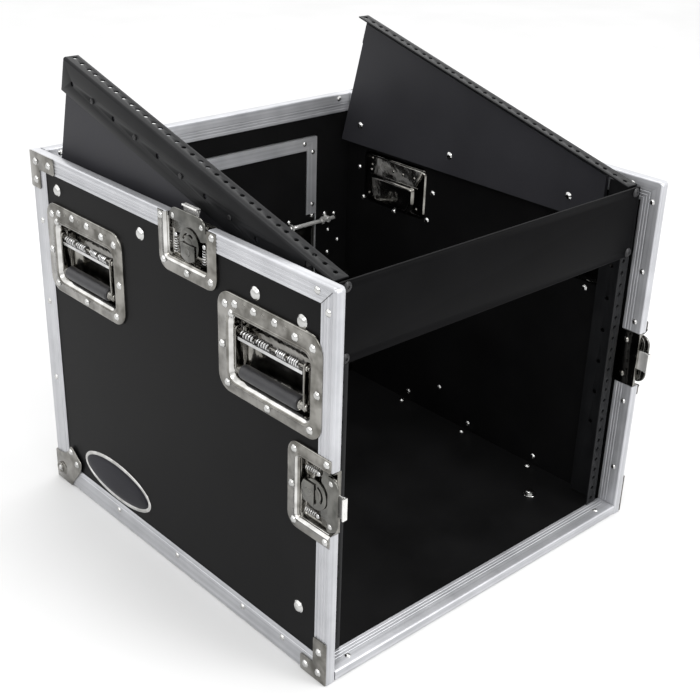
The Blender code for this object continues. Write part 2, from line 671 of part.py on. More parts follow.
def on_front(u, w):
    """Latch coordinates on the front edge of a side."""
    return (-HY - w, LATCH_FRONT_Z + u)


for label, side in (("left", -1), ("right", 1)):
    edge_latch("latch_%s_top" % label, side, on_top)
    edge_latch("latch_%s_front" % label, side, on_front)


# ---------------------------------------------------------------- rear access door
panel_x = DOOR_X - SHEET - GAP
panel_low = DOOR_LOW + SHEET + GAP
panel_high = DOOR_HIGH - SHEET - GAP
notch_half = TRAY_HALF + 0.0025
notch_x = DOOR_X - TRAY_DEEP - 0.0023
door_outline = [
    (-panel_x, panel_low), (panel_x, panel_low), (panel_x, DOOR_MID - notch_half),
    (notch_x, DOOR_MID - notch_half), (notch_x, DOOR_MID + notch_half),
    (panel_x, DOOR_MID + notch_half), (panel_x, panel_high), (-panel_x, panel_high),
    (-panel_x, DOOR_MID + notch_half), (-notch_x, DOOR_MID + notch_half),
    (-notch_x, DOOR_MID - notch_half), (-panel_x, DOOR_MID - notch_half)]
door = prism("rear_door", [door_outline], "Y", (BACK_IN, BACK_OUT), LAMINATE)

ring_out = rect(-DOOR_X, DOOR_LOW, DOOR_X, DOOR_HIGH)
ring_web = rect(-DOOR_X + SHEET, DOOR_LOW + SHEET, DOOR_X - SHEET, DOOR_HIGH - SHEET)
ring_in = rect(-DOOR_X + TRIM, DOOR_LOW + TRIM, DOOR_X - TRIM, DOOR_HIGH - TRIM)
TRIM_IN = BACK_IN - GAP - SHEET
trim = prism("rear_door_trim", [ring_out, ring_web], "Y", (TRIM_IN, HY), ALUMINIUM)
fuse(trim, prism("trim_inside", [ring_out, ring_in], "Y", (TRIM_IN, TRIM_IN + SHEET), None, CUTTERS),
     prism("trim_outside", [ring_out, ring_in], "Y", (HY - SHEET, HY), None, CUTTERS))
for label, side in (("left", -1), ("right", 1)):
    gap_half = 0.0580
    cut(trim,
        box("trim_gap_" + label, (side * (DOOR_X - TRIM - 0.001), TRIM_IN - 0.001, DOOR_MID - gap_half),
            (side * (DOOR_X - SHEET - 0.0001), TRIM_IN + SHEET + 0.0002, DOOR_MID + gap_half), None,
            CUTTERS),
        box("trim_tray_" + label,
            (side * (DOOR_X - TRIM - 0.001), TRIM_IN + 0.0025, DOOR_MID - TRAY_HALF - 0.002),
            (side * (DOOR_X + 0.001), HY + 0.001, DOOR_MID + TRAY_HALF + 0.002), None, CUTTERS))


def rear_spot(side):
    """Latch coordinates on an upright edge of the rear door."""
    return lambda u, w: (side * (DOOR_X + w), DOOR_MID + u)


rear_latches = []
for label, side in (("left", -1), ("right", 1)):
    rear = latch_dish("rear_latch_" + label, "Y", 1, HY, rear_spot(side),
                      REAR_COVER_OUT)
    disc, post = disc_and_post("rear_latch_%s_disc" % label, "Y", 1, HY, rear_spot(side), CUTTERS,
                               TRAY_FLOOR - 0.0005)
    fuse(rear, post, disc)
    rear_latches.append(rear)
carry(empty("rear_door_body", (0, HY, DOOR_MID)), door, trim, *rear_latches)

# ---------------------------------------------------------------- badge and stop rod
badge_loop = [(0.1300 + 0.0775 * math.cos(math.pi * i / 16), 0.0620 + 0.0285 * math.sin(math.pi * i / 16))
              for i in range(32)]
prism("side_badge", [badge_loop], "X", (-PANEL_OUT - GAP, -HX - 0.0007), BADGE)

rod_y = 0.2635
rod_z = 0.2790
rod = cylinder("door_stop_rod", "X", (rod_y, rod_z), 0.0025, (0.1370, 0.2140), CHROME, PARTS, 12)
fuse(rod, cylinder("rod_foot", "Y", (0.2100, rod_z), 0.0045, (rod_y - 0.002, BACK_IN - GAP), None,
                   CUTTERS, 12),
     cylinder("rod_nut", "X", (rod_y, rod_z), 0.0046, (0.1350, 0.1395), None, CUTTERS, 6))
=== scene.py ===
"""Looks of the equipment rack case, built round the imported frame.

Hardware on a panel is made in the panel's own coordinates: two along the panel and a height above
the outer face of the aluminium edges. A "place" function turns those into a point of the frame.
"""
import math

import bmesh
import bpy
from mathutils import Matrix, Vector


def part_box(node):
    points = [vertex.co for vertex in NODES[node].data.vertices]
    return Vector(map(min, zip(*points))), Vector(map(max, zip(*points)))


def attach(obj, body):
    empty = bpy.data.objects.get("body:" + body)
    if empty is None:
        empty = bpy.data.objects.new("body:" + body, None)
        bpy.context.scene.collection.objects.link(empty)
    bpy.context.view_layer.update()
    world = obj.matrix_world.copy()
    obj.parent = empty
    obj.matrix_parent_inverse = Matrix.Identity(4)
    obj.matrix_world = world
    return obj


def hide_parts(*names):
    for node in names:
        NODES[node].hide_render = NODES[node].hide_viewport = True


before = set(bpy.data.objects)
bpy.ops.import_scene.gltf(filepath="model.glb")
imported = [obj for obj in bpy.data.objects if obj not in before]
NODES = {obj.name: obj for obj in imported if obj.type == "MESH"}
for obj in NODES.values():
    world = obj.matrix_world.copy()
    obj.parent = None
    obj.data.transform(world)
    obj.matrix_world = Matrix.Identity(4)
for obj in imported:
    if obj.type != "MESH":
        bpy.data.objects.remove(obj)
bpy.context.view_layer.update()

SIDES = (("left", -1), ("right", 1))
CASE = "case"
TAU = 2 * math.pi

# Sizes read from the frame
EDGE_LOW, EDGE_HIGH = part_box("side_edge_right")
HX = EDGE_HIGH.x
HY = EDGE_HIGH.y
TOP = EDGE_HIGH.z
CHANNEL = EDGE_HIGH.x - EDGE_LOW.x
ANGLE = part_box("edge_bottom_right")[1].z
PANEL_LOW, PANEL_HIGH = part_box("side_panel_right")
WALL_IN = PANEL_LOW.x
WALL_OUT = PANEL_HIGH.x
BACK_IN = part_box("back_panel")[0].y
FLOOR_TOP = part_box("bottom_panel")[1].z
DOOR_LOW, DOOR_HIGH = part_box("rear_door_trim")
DOOR_MID = (DOOR_LOW.z + DOOR_HIGH.z) / 2

# Sizes of the aluminium profiles
SHEET = 0.0015
LIP = 0.0210
INNER = 0.0280
BEND = 0.0050
GROOVE = 0.0005

# Sizes of the pressed hardware, in the coordinates of its panel
PLATE_TOP = 0.0016
PANEL_FACE = WALL_OUT - HX
SHEET_PRESSED = 0.0011
HANDLE_OPEN = (0.0635, 0.3130, 0.3865)
HANDLE_OFFSET = -0.0020
HANDLE_CORNER = 0.0195
HANDLE_FLOOR = -0.0135
BOWL_HALF = (0.0440, 0.0195)
BOWL_Z = 0.3360
BOWL_FLOOR = -0.0195
STEP_Z = 0.3565
PIVOT = Vector((0.2620, 0.0, 0.3690))
GRIP_Z = 0.3255
GRIP_R = 0.0082
ARM_SPAN = (0.0538, 0.0562)
STRAP_Z = 0.3630
LATCH_HALF = 0.0520
LATCH_DEEP = 0.0670
TRAY_HALF = 0.0355
TRAY_DEEP = 0.0480
TRAY_FLOOR = -0.0085
ROTOR_W = -0.0270

# 19-inch rack pattern
UNIT = 0.04445
HOLE_STEPS = (0.00635, 0.022225, 0.0381)
HOLE_X = 0.23255
SLOPE = math.radians(14.8)


# ---------------------------------------------------------------- materials
def shader_of(mat):
    """The material's Principled node."""
    return mat.node_tree.nodes["Principled BSDF"]


def new_material(name, colour, roughness, metallic=0.0, **more):
    """Principled material with its constants set on the shader's own sockets."""
    mat = bpy.data.materials.new(name)
    mat.use_nodes = True
    shader = shader_of(mat)
    shader.inputs["Base Color"].default_value = (*colour, 1.0)
    shader.inputs["Roughness"].default_value = roughness
    shader.inputs["Metallic"].default_value = metallic
    for key, value in more.items():
        shader.inputs[key.replace("_", " ")].default_value = value
    return mat


def noise(mat, scale, detail=3.0, stretch=(1.0, 1.0, 1.0), rough=0.55):
    """Noise in the object's own coordinates; a small stretch value draws it out along that axis."""
    nodes = mat.node_tree.nodes
    links = mat.node_tree.links
    coords = nodes.new("ShaderNodeTexCoord")
    mapping = nodes.new("ShaderNodeMapping")
    mapping.inputs["Scale"].default_value = stretch
    tex = nodes.new("ShaderNodeTexNoise")
    tex.inputs["Scale"].default_value = scale
    tex.inputs["Detail"].default_value = detail
    tex.inputs["Roughness"].default_value = rough
    links.new(coords.outputs["Object"], mapping.inputs["Vector"])
    links.new(mapping.outputs["Vector"], tex.inputs["Vector"])
    return tex.outputs["Fac"]


def mix_factor(mat, first, second, weight):
    """Weighted mean of two noise fields."""
    node = mat.node_tree.nodes.new("ShaderNodeMix")
    node.data_type = "FLOAT"
    node.inputs["Factor"].default_value = weight
    mat.node_tree.links.new(first, node.inputs["A"])
    mat.node_tree.links.new(second, node.inputs["B"])
    return node.outputs["Result"]


def colour_from(mat, factor, dark, light, low=0.35, high=0.65):
    """Drive the base colour between two colours."""
    ramp = mat.node_tree.nodes.new("ShaderNodeValToRGB")
    ramp.color_ramp.elements[0].position = low
    ramp.color_ramp.elements[0].color = (*dark, 1.0)
    ramp.color_ramp.elements[1].position = high
    ramp.color_ramp.elements[1].color = (*light, 1.0)
    mat.node_tree.links.new(factor, ramp.inputs["Fac"])
    mat.node_tree.links.new(ramp.outputs["Color"], shader_of(mat).inputs["Base Color"])


def roughness_from(mat, factor, smooth, rough, low=0.3, high=0.7):
    """Drive the roughness between two values."""
    node = mat.node_tree.nodes.new("ShaderNodeMapRange")
    node.inputs["From Min"].default_value = low
    node.inputs["From Max"].default_value = high
    node.inputs["To Min"].default_value = smooth
    node.inputs["To Max"].default_value = rough
    mat.node_tree.links.new(factor, node.inputs["Value"])
    mat.node_tree.links.new(node.outputs["Result"], shader_of(mat).inputs["Roughness"])


def bump_from(mat, factor, strength, distance):
    """Raise the surface by the field."""
    node = mat.node_tree.nodes.new("ShaderNodeBump")
    node.inputs["Strength"].default_value = strength
    node.inputs["Distance"].default_value = distance
    mat.node_tree.links.new(factor, node.inputs["Height"])
    mat.node_tree.links.new(node.outputs["Normal"], shader_of(mat).inputs["Normal"])


def grained(name, dark, light, smooth, rough, grain, strength, distance, cloud=9.0, metallic=0.0,
            gloss=0.16, **more):
    """Paint or plastic: slow colour clouds, fine grain in the roughness and the bump."""
    mat = new_material(name, light, rough, metallic, Specular_IOR_Level=gloss, **more)
    fine = noise(mat, grain, 2.0)
    slow = noise(mat, cloud, 5.0)
    colour_from(mat, mix_factor(mat, slow, fine, 0.35), dark, light)
    roughness_from(mat, mix_factor(mat, slow, fine, 0.5), smooth, rough)
    bump_from(mat, fine, strength, distance)
    return mat


def aluminium(name, axis):
    """Satin aluminium with drawing lines along an axis (0 for X, 1 for Y, 2 for Z)."""
    stretch = [260.0, 260.0, 260.0]
    stretch[axis] = 1.6
    mat = new_material(name, (0.50, 0.505, 0.52), 0.36, 0.62)
    lines = noise(mat, 1.0, 4.0, stretch, 0.6)
    cloud = noise(mat, 24.0, 3.0)
    colour_from(mat, mix_factor(mat, lines, cloud, 0.35), (0.34, 0.345, 0.362), (0.52, 0.525, 0.545))
    roughness_from(mat, mix_factor(mat, lines, cloud, 0.4), 0.28, 0.42)
    bump_from(mat, lines, 0.10, 0.0002)
    return mat


def plated(name, dark, light, smooth, rough, wave):
    """Bright plating over pressed steel, with a slow waviness and faint handling marks."""
    mat = new_material(name, light, rough, 1.0)
    slow = noise(mat, 55.0, 2.0)
    marks = noise(mat, 420.0, 4.0)
    colour_from(mat, slow, dark, light)
    roughness_from(mat, mix_factor(mat, slow, marks, 0.5), smooth, rough)
    bump_from(mat, slow, wave, 0.0012)
    return mat


LAMINATE = grained("black_laminate", (0.0028, 0.0028, 0.0029), (0.0056, 0.0056, 0.0058),
                   0.30, 0.46, 750.0, 0.22, 0.0002, gloss=0.055)
BOARD = grained("charcoal_board", (0.0150, 0.0150, 0.0175), (0.0215, 0.0215, 0.0250),
                0.40, 0.58, 620.0, 0.20, 0.0002, gloss=0.22)
RAIL = grained("black_rail_steel", (0.0050, 0.0052, 0.0057), (0.0090, 0.0092, 0.0098),
               0.28, 0.42, 900.0, 0.12, 0.0001, 30.0, gloss=0.11)
PLATE = grained("black_plate_steel", (0.0014, 0.0014, 0.0016), (0.0028, 0.0028, 0.0031),
                0.36, 0.50, 1100.0, 0.20, 0.0001, 14.0, gloss=0.03)
RUBBER = grained("black_rubber", (0.0120, 0.0120, 0.0135), (0.0240, 0.0240, 0.0265),
                 0.36, 0.52, 260.0, 0.35, 0.0003, 60.0, gloss=0.45)
OXIDE = grained("black_screw_steel", (0.0080, 0.0080, 0.0085), (0.0200, 0.0200, 0.0210),
                0.24, 0.38, 800.0, 0.15, 0.0001, 80.0, 0.4, gloss=0.4)
FIELD = grained("badge_field", (0.0060, 0.0060, 0.0085), (0.0120, 0.0120, 0.0165),
                0.16, 0.26, 500.0, 0.05, 0.0001, 20.0, gloss=0.09)
ALU_X = aluminium("aluminium_along_x", 0)
ALU_Y = aluminium("aluminium_along_y", 1)
ALU_Z = aluminium("aluminium_along_z", 2)
NICKEL = plated("bright_nickel", (0.125, 0.120, 0.108), (0.29, 0.282, 0.262), 0.06, 0.15, 0.42)
# Paler copy of the nickel. On the sloping lips of the handle and latch dishes it is a painted highlight; on
# the badge rim it is the rim's own colour.
PALE_NICKEL_AND_HIGHLIGHT = plated("pale_nickel_and_painted_highlight", (0.42, 0.415, 0.40), (0.66, 0.655, 0.64), 0.06, 0.14, 0.20)
RIVET = plated("rivet_nickel", (0.44, 0.44, 0.43), (0.58, 0.58, 0.57), 0.10, 0.20, 0.06)
ZINC = plated("zinc_plate", (0.60, 0.595, 0.58), (0.74, 0.735, 0.72), 0.10, 0.20, 0.16)
DARK = plated("dark_plate", (0.075, 0.075, 0.069), (0.165, 0.163, 0.152), 0.09, 0.20, 0.30)
SPRING = plated("spring_steel", (0.45, 0.45, 0.45), (0.62, 0.62, 0.62), 0.16, 0.28, 0.05)
shader_of(ZINC).inputs["Metallic"].default_value = 0.6


# ---------------------------------------------------------------- mesh helpers
def loft(bm, rings, closed=True, caps=True, material=0):
    """Skin between rings that have the same number of points."""
    rows = [[bm.verts.new(point) for point in ring] for ring in rings]
    count = len(rows[0])
    last = count if closed else count - 1
    for low, high in zip(rows, rows[1:]):
        for i in range(last):
            j = (i + 1) % count
            bm.faces.new((low[i], low[j], high[j], high[i])).material_index = material
    if caps:
        bm.faces.new(rows[0]).material_index = material
        bm.faces.new(rows[-1][::-1]).material_index = material


def paint_rows(bm, first, last, count, material):
    """Give the rows of a fresh loft from first up to last another material; count faces make a row."""
    bm.faces.ensure_lookup_table()
    for face in bm.faces[first * count:last * count]:
        face.material_index = material


def make(name, bm, materials, body=CASE, smooth=38.0, replaces=()):
    """Close the bmesh into an object that rides on a body."""
    bmesh.ops.remove_doubles(bm, verts=bm.verts, dist=0.000002)
    bmesh.ops.dissolve_degenerate(bm, dist=0.000001, edges=bm.edges)
    bmesh.ops.recalc_face_normals(bm, faces=bm.faces)
    mesh = bpy.data.meshes.new(name)
    bm.to_mesh(mesh)
    bm.free()
    for mat in materials:
        mesh.materials.append(mat)
    mesh.shade_smooth()
    mesh.set_sharp_from_angle(angle=math.radians(smooth))
    ob = bpy.data.objects.new(name, mesh)
    bpy.context.scene.collection.objects.link(ob)
    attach(ob, body)
    if replaces:
        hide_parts(*replaces)
    return ob


def soften(ob, width):
    """Bevel an object's sharp edges."""
    mod = ob.modifiers.new("soft_edges", "BEVEL")
    mod.width = width
    mod.segments = 2
    mod.limit_method = "ANGLE"
    mod.angle_limit = math.radians(40)


def rounded(half_a, half_b, radius, centre=(0.0, 0.0), low_radius=None, steps=5):
    """Rectangle with rounded corners; the lower two corners may have their own radius."""
    low = radius if low_radius is None else low_radius
    corners = ((1, 1, radius), (-1, 1, radius), (-1, -1, low), (1, -1, low))
    points = []
    for index, (sa, sb, r) in enumerate(corners):
        for step in range(steps + 1):
            angle = math.pi / 2 * (index + step / steps)
            points.append((centre[0] + sa * (half_a - r) + r * math.cos(angle),
                           centre[1] + sb * (half_b - r) + r * math.sin(angle)))
    return points


def circle(a, b, radius, steps=24):
    """Points round a circle."""
    return [(a + radius * math.cos(TAU * i / steps), b + radius * math.sin(TAU * i / steps))
            for i in range(steps)]


def ring_at(place, outline, height):
    """Outline lifted to a height on a panel."""
    return [place(a, b, height) for a, b in outline]


def turned(bm, centre, axis, profile, steps=20):
    """Turned solid: profile of (distance along the axis, radius) from a centre."""
    axis = Vector(axis).normalized()
    side = axis.orthogonal().normalized()
    other = axis.cross(side)
    centre = Vector(centre)
    spokes = [side * math.cos(TAU * i / steps) + other * math.sin(TAU * i / steps) for i in range(steps)]
    loft(bm, [[centre + axis * along + spoke * radius for spoke in spokes] for along, radius in profile])


def rivet(bm, place, a, b, base, radius, height):
    """Domed rivet head with a thin collar, its underside just inside the sheet."""
    profile = ((1.0, -0.25), (1.0, 0.10), (0.95, 0.22), (0.86, 0.30), (0.80, 0.52), (0.62, 0.82),
               (0.36, 0.97), (0.12, 1.0))
    loft(bm, [ring_at(place, circle(a, b, radius * wide, 16), base + height * high)
              for wide, high in profile])


def rivets(name, groups, body=CASE):
    """One object of rivets, from groups of (place, spots, base, radius, height)."""
    bm = bmesh.new()
    for place, spots, base, radius, height in groups:
        for a, b in spots:
            rivet(bm, place, a, b, base, radius, height)
    make(name, bm, (RIVET,), body)


def hexagon(bm, place, a, b, base, top, radius):
    """Hexagon nut with chamfered corners."""
    def ring(r, height):
        corners = [TAU * i / 6 + 0.3 for i in range(6)]
        return [place(a + r * math.cos(t), b + r * math.sin(t), height) for t in corners]

    loft(bm, [ring(radius * 0.9, base), ring(radius, base + 0.0004), ring(radius, top - 0.0005),
              ring(radius * 0.88, top)])


def disc(bm, place, a, b, base, top, radius, inner=0.0, steps=24):
    """Flat washer or plain disc with a small chamfer."""
    edge = min(0.0003, (top - base) / 3)
    path = [(radius - edge, base), (radius, base + edge), (radius, top - edge), (radius - edge, top)]
    if inner:
        path += [(inner + edge, top), (inner, top - edge), (inner, base + edge), (inner + edge, base)]
        path.append(path[0])
    loft(bm, [ring_at(place, circle(a, b, r, steps), h) for r, h in path], caps=not inner)


def plate_mesh(bm, place, loops, low, high, bevel=0.0003, material=0):
    """Flat sheet with rounded-over edges and holes, from a filled curve."""
    curve = bpy.data.curves.new("plate", "CURVE")
    curve.dimensions = "2D"
    curve.fill_mode = "BOTH"
    curve.extrude = (high - low) / 2 - bevel
    curve.bevel_depth = bevel
    curve.bevel_resolution = 1
    curve.offset = -bevel
    for loop in loops:
        spline = curve.splines.new("POLY")
        spline.points.add(len(loop) - 1)
        for point, (a, b) in zip(spline.points, loop):
            point.co = (a, b, 0.0, 1.0)
        spline.use_cyclic_u = True
    ob = bpy.data.objects.new("plate", curve)
    bpy.context.scene.collection.objects.link(ob)
    graph = bpy.context.evaluated_depsgraph_get()
    mesh = bpy.data.meshes.new_from_object(ob.evaluated_get(graph))
    middle = (low + high) / 2
    verts = [bm.verts.new(place(v.co.x, v.co.y, v.co.z + middle)) for v in mesh.vertices]
    for poly in mesh.polygons:
        if len(set(poly.vertices)) == len(poly.vertices):
            bm.faces.new([verts[i] for i in poly.vertices]).material_index = material
    bpy.data.objects.remove(ob)
    bpy.data.curves.remove(curve)
    bpy.data.meshes.remove(mesh)


def wire(bm, points, radius, steps=6):
    """Round wire along a list of points."""
    points = [Vector(p) for p in points]
    rings = []
    up = None
    for i, point in enumerate(points):
        ahead = points[min(i + 1, len(points) - 1)] - points[max(i - 1, 0)]
        ahead.normalize()
        if up is None:
            up = ahead.orthogonal().normalized()
        up = (up - ahead * up.dot(ahead)).normalized()
        across = ahead.cross(up)
        rings.append([point + (up * math.cos(TAU * k / steps) + across * math.sin(TAU * k / steps)) * radius
                      for k in range(steps)])
    loft(bm, rings)


# ---------------------------------------------------------------- places
def on_side(side):
    """Outer face of a side: (y, z, height)."""
    return lambda a, b, n: Vector((side * (HX + n), a, b))


def inside_side(side):
    """Inner face of a side wall: (y, z, height into the case)."""
    return lambda a, b, n: Vector((side * (WALL_IN - n), a, b))


def on_back(a, b, n):
    """Outer face of the back: (x, z, height)."""
    return Vector((a, HY + n, b))


def inside_back(a, b, n):
    """Inner face of the back wall: (x, z, height into the case)."""
    return Vector((a, BACK_IN - n, b))


def on_floor(a, b, n):
    """Top of the floor panel: (x, y, height)."""
    return Vector((a, b, FLOOR_TOP + n))


# ---------------------------------------------------------------- aluminium edges
def grooves(centres, flip=False):
    """Points of shallow grooves across a flange: (depth into the sheet, distance along it)."""
    points = []
    for centre in centres:
        points += [(0.0, centre + 0.0008), (GROOVE, centre + 0.0004),
                   (GROOVE, centre - 0.0004), (0.0, centre - 0.0008)]
    return points[::-1] if flip else points


def channel_profile():
    """Section of a channel: (distance in from the outer face, distance in from the edge)."""
    lip = LIP
    web = CHANNEL
    outer = grooves((0.0170, 0.0130, 0.0090, 0.0050))
    inner = [(web - p, d) for p, d in grooves((0.0150, 0.0190, 0.0230), True)]
    inner.sort(key=lambda pd: pd[1])
    points = [(SHEET, lip - 0.0004), (SHEET - 0.0004, lip), (0.0004, lip), (0.0, lip - 0.0004)]
    points += outer
    points += [(0.0, 0.0022), (0.0003, 0.0011), (0.0011, 0.0003), (0.0022, 0.0)]
    points += [(web - 0.0022, 0.0), (web - 0.0011, 0.0003), (web - 0.0003, 0.0011), (web, 0.0022)]
    points += inner
    points += [(web, INNER - 0.0004), (web - 0.0004, INNER), (web - SHEET + 0.0004, INNER),
               (web - SHEET, INNER - 0.0004)]
    points += [(web - SHEET, SHEET), (SHEET, SHEET)]
    return points


def side_edge(label, side):
    """Channel round the top and the front edge of a side, interrupted at both latches."""
    profile = channel_profile()
    notch = TRAY_HALF + 0.0020

    def at_top(y):
        return [Vector((side * (HX - p), y, TOP - d)) for p, d in profile]

    def at_front(z):
        return [Vector((side * (HX - p), -HY + d, z)) for p, d in profile]

    def at_corner(turn):
        ring = []
        for p, d in profile:
            reach = max(BEND - d, 0.0)
            start = max(BEND, d)
            ring.append(Vector((side * (HX - p), -HY + start - reach * math.sin(turn),
                                TOP - start + reach * math.cos(turn))))
        return ring

    top_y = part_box("latch_%s_top_rotor" % label)
    top_y = (top_y[0].y + top_y[1].y) / 2
    front_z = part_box("latch_%s_front_rotor" % label)
    front_z = (front_z[0].z + front_z[1].z) / 2
    bm = bmesh.new()
    loft(bm, [at_top(HY), at_top(top_y + notch)])
    corner = [at_corner(math.pi / 12 * i) for i in range(7)]
    loft(bm, [at_top(top_y - notch), corner[0]], caps=False)
    loft(bm, corner, caps=False)
    loft(bm, [corner[-1], at_front(front_z + notch)], caps=False, material=1)
    bm.faces.new([bm.verts.new(p) for p in at_top(top_y - notch)])
    bm.faces.new([bm.verts.new(p) for p in at_front(front_z + notch)]).material_index = 1
    loft(bm, [at_front(front_z - notch), at_front(0.0)], material=1)
    node = "side_edge_" + label
    make("top_and_front_edge_" + label, bm, (ALU_Y, ALU_Z), CASE, 30.0, (node,))

    wrap = bmesh.new()
    tuck = CHANNEL - 0.0006
    runs = ((top_y, lambda a, d, n: Vector((side * (HX - n), a, TOP - d))),
            (front_z, lambda a, d, n: Vector((side * (HX - n), -HY + d, a))))
    for middle, place in runs:
        start = middle - notch + 0.0004
        stop = middle + notch - 0.0004
        plate_mesh(wrap, place, [[(start, 0.0), (stop, 0.0), (stop, 0.0285), (start, 0.0285)]], tuck,
                   tuck + 0.0012)
        plate_mesh(wrap, lambda a, p, n, place=place: place(a, n, p),
                   [[(start, 0.0085), (stop, 0.0085), (stop, CHANNEL), (start, CHANNEL)]], 0.0002, 0.0014)
        for shift in (-0.024, 0.024):
            rivet(wrap, lambda a, d, n, place=place: place(a, d, CHANNEL + 0.0006 + n), middle + shift,
                  0.0190, 0.0, 0.0038, 0.0018)
    make("latch_backing_plates_" + label, wrap, (NICKEL,))


def straight_edge(name, profile, ends, place, mat, node):
    """Straight length of a profile between two ends."""
    bm = bmesh.new()
    loft(bm, [[place(p, d, end) for p, d in profile] for end in ends])
    make(name, bm, (mat,), CASE, 30.0, (node,))


def angle_profile():
    """Section of an angle: both legs with a groove and a bevelled tip, outer corner rounded."""
    leg = ANGLE
    tip = [(SHEET, leg), (SHEET - 0.0004, leg), (0.0, leg - 0.0026), (0.0, leg - 0.0050),
           (GROOVE, leg - 0.0054), (GROOVE, leg - 0.0060), (0.0, leg - 0.0064)]
    bend = [(0.0, 0.0026), (0.0004, 0.0012), (0.0012, 0.0004), (0.0026, 0.0)]
    return tip + bend + [(d, p) for p, d in reversed(tip)] + [(SHEET, SHEET)]


def all_edges():
    """Every aluminium profile of the box."""
    inner_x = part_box("edge_back_top")[1].x
    straight_edge("back_top_edge", channel_profile(), (-inner_x, inner_x),
                  lambda p, d, x: Vector((x, HY - p, TOP - d)), ALU_X, "edge_back_top")
    low_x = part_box("edge_bottom_front")[1].x
    straight_edge("front_sill_edge", channel_profile(), (-low_x, low_x),
                  lambda p, d, x: Vector((x, -HY + d, p)), ALU_X, "edge_bottom_front")
    back_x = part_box("edge_bottom_back")[1].x
    straight_edge("back_bottom_edge", angle_profile(), (-back_x, back_x),
                  lambda p, d, x: Vector((x, HY - p, d)), ALU_X, "edge_bottom_back")
    for label, side in SIDES:
        side_edge(label, side)
        low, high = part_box("edge_bottom_" + label)
        straight_edge("bottom_edge_" + label, angle_profile(), (low.y, high.y),
                      lambda p, d, y, side=side: Vector((side * (HX - p), y, d)), ALU_Y,
                      "edge_bottom_" + label)
        low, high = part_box("edge_back_" + label)
        straight_edge("back_upright_edge_" + label, angle_profile(), (low.z, high.z),
                      lambda p, d, z, side=side: Vector((side * (HX - p), HY - d, z)), ALU_Z,
                      "edge_back_" + label)


def mitre_joints():
    """Thin dark joint where the top and front runs of each side edge meet."""
    for label, side in SIDES:
        bm = bmesh.new()
        inner = Vector((-HY + LIP, TOP - LIP))
        outer = Vector((-HY + 0.0055, TOP - 0.0055))
        across = Vector((1.0, 1.0)).normalized() * 0.00035
        loop = [inner + across, inner - across, outer - across, outer + across]
        plate_mesh(bm, on_side(side), [loop], -0.0002, 0.0002, 0.00005)
        make("mitre_joint_" + label, bm, (OXIDE,), CASE)


# ---------------------------------------------------------------- panels, boards, rails
def surface(node, mat, bevel=0.0004):
    """Keep a CAD node, with softened edges and a detailed material."""
    ob = NODES[node]
    ob.data.materials.clear()
    ob.data.materials.append(mat)
    soften(ob, bevel)


def panels():
    """Box panels and the boards under the slanted rails."""
    for node in ("side_panel_left", "side_panel_right", "back_panel", "bottom_panel", "rear_door"):
        surface(node, LAMINATE)
    for label, _ in SIDES:
        surface("slant_board_" + label, BOARD)


def rail_section(bm, place, length, holes, slots, wall_start, wall_depth=0.0420):
    """L rail with a rolled corner: hole flange, side flange and their holes.

    place takes (in from the outer face, down from the hole flange, along the rail).
    """
    roll = 0.0030
    flange = 0.0200
    sheet = 0.0020
    plate_mesh(bm, lambda a, b, n: place(a, -n, b),
               [[(roll, 0.0), (flange, 0.0), (flange, length), (roll, length)],
                *[circle(flange / 2 + 0.00195, h, 0.0026) for h in holes]], -sheet, 0.0, 0.0004)
    plate_mesh(bm, lambda a, b, n: place(n, a, b),
               [[(roll, wall_start), (wall_depth, wall_start), (wall_depth, length), (roll, length)],
                *[circle(0.0240, s, 0.0030) for s in slots]], 0.0, sheet, 0.0004)
    arc = [math.pi / 16 * i for i in range(9)]
    inside = roll - sheet
    section = [(roll - roll * math.cos(t), roll - roll * math.sin(t)) for t in arc]
    section += [(roll - inside * math.cos(t), roll - inside * math.sin(t)) for t in reversed(arc)]
    loft(bm, [[place(p, d, end) for p, d in section] for end in (0.0002, length - 0.0002)])


def front_rails():
    """Upright rails with their holes and stand-off sleeves."""
    for label, side in SIDES:
        low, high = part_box("front_rail_" + label)
        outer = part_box("slant_rail_" + label)
        rail_x = max(abs(outer[0].x), abs(outer[1].x))
        top = 0.4609
        holes = [top - UNIT * unit - step - low.z for unit in range(10) for step in HOLE_STEPS]
        slots = [top - UNIT * (unit + 0.5) - low.z for unit in range(1, 8)]
        bm = bmesh.new()

        def place(p, d, t, side=side, low=low):
            return Vector((side * (rail_x - p), low.y + d, low.z + t))

        rail_section(bm, place, high.z - low.z, holes, slots, 0.0)
        for z in (0.4180, 0.0780):
            turned(bm, (side * (rail_x - 0.001), low.y + 0.0240, z), (side, 0, 0),
                   ((0.0, 0.0060), (WALL_IN - rail_x + 0.0007, 0.0060)))
        make("upright_rail_" + label, bm, (RAIL,), CASE, 40.0, ("front_rail_" + label,))


def slant_rails():
    """Slanted rails with their holes and screws."""
    low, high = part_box("slant_rail_left")
    rail_x = max(abs(low.x), abs(high.x))
    length = 0.00455 + 11 * UNIT
    start = Vector((0, -0.2535, 0.4617))
    along = Vector((0, math.cos(SLOPE), math.sin(SLOPE)))
    down = Vector((0, math.sin(SLOPE), -math.cos(SLOPE)))
    holes = [0.00455 + UNIT * unit + step for unit in range(11) for step in HOLE_STEPS]
    slots = [0.00455 + UNIT * (unit + 0.5) for unit in range(1, 11)]
    head = ((-0.0030, 0.0030), (0.0, 0.0033), (0.0006, 0.0031), (0.0011, 0.0021), (0.0009, 0.0010))
    for label, side in SIDES:
        bm = bmesh.new()

        def place(p, d, t, side=side):
            point = start + along * t + down * d
            return Vector((side * (rail_x - p), point.y, point.z))

        rail_section(bm, place, length, holes, slots, 0.0414)
        make("slanted_rail_" + label, bm, (RAIL,), CASE, 40.0, ("slant_rail_" + label,))
        screws = bmesh.new()
        for slot in slots[::2]:
            turned(screws, place(-0.0002, 0.0240, slot), (side, 0, 0), head, 18)
        make("slanted_rail_screws_" + label, screws, (OXIDE,), CASE)


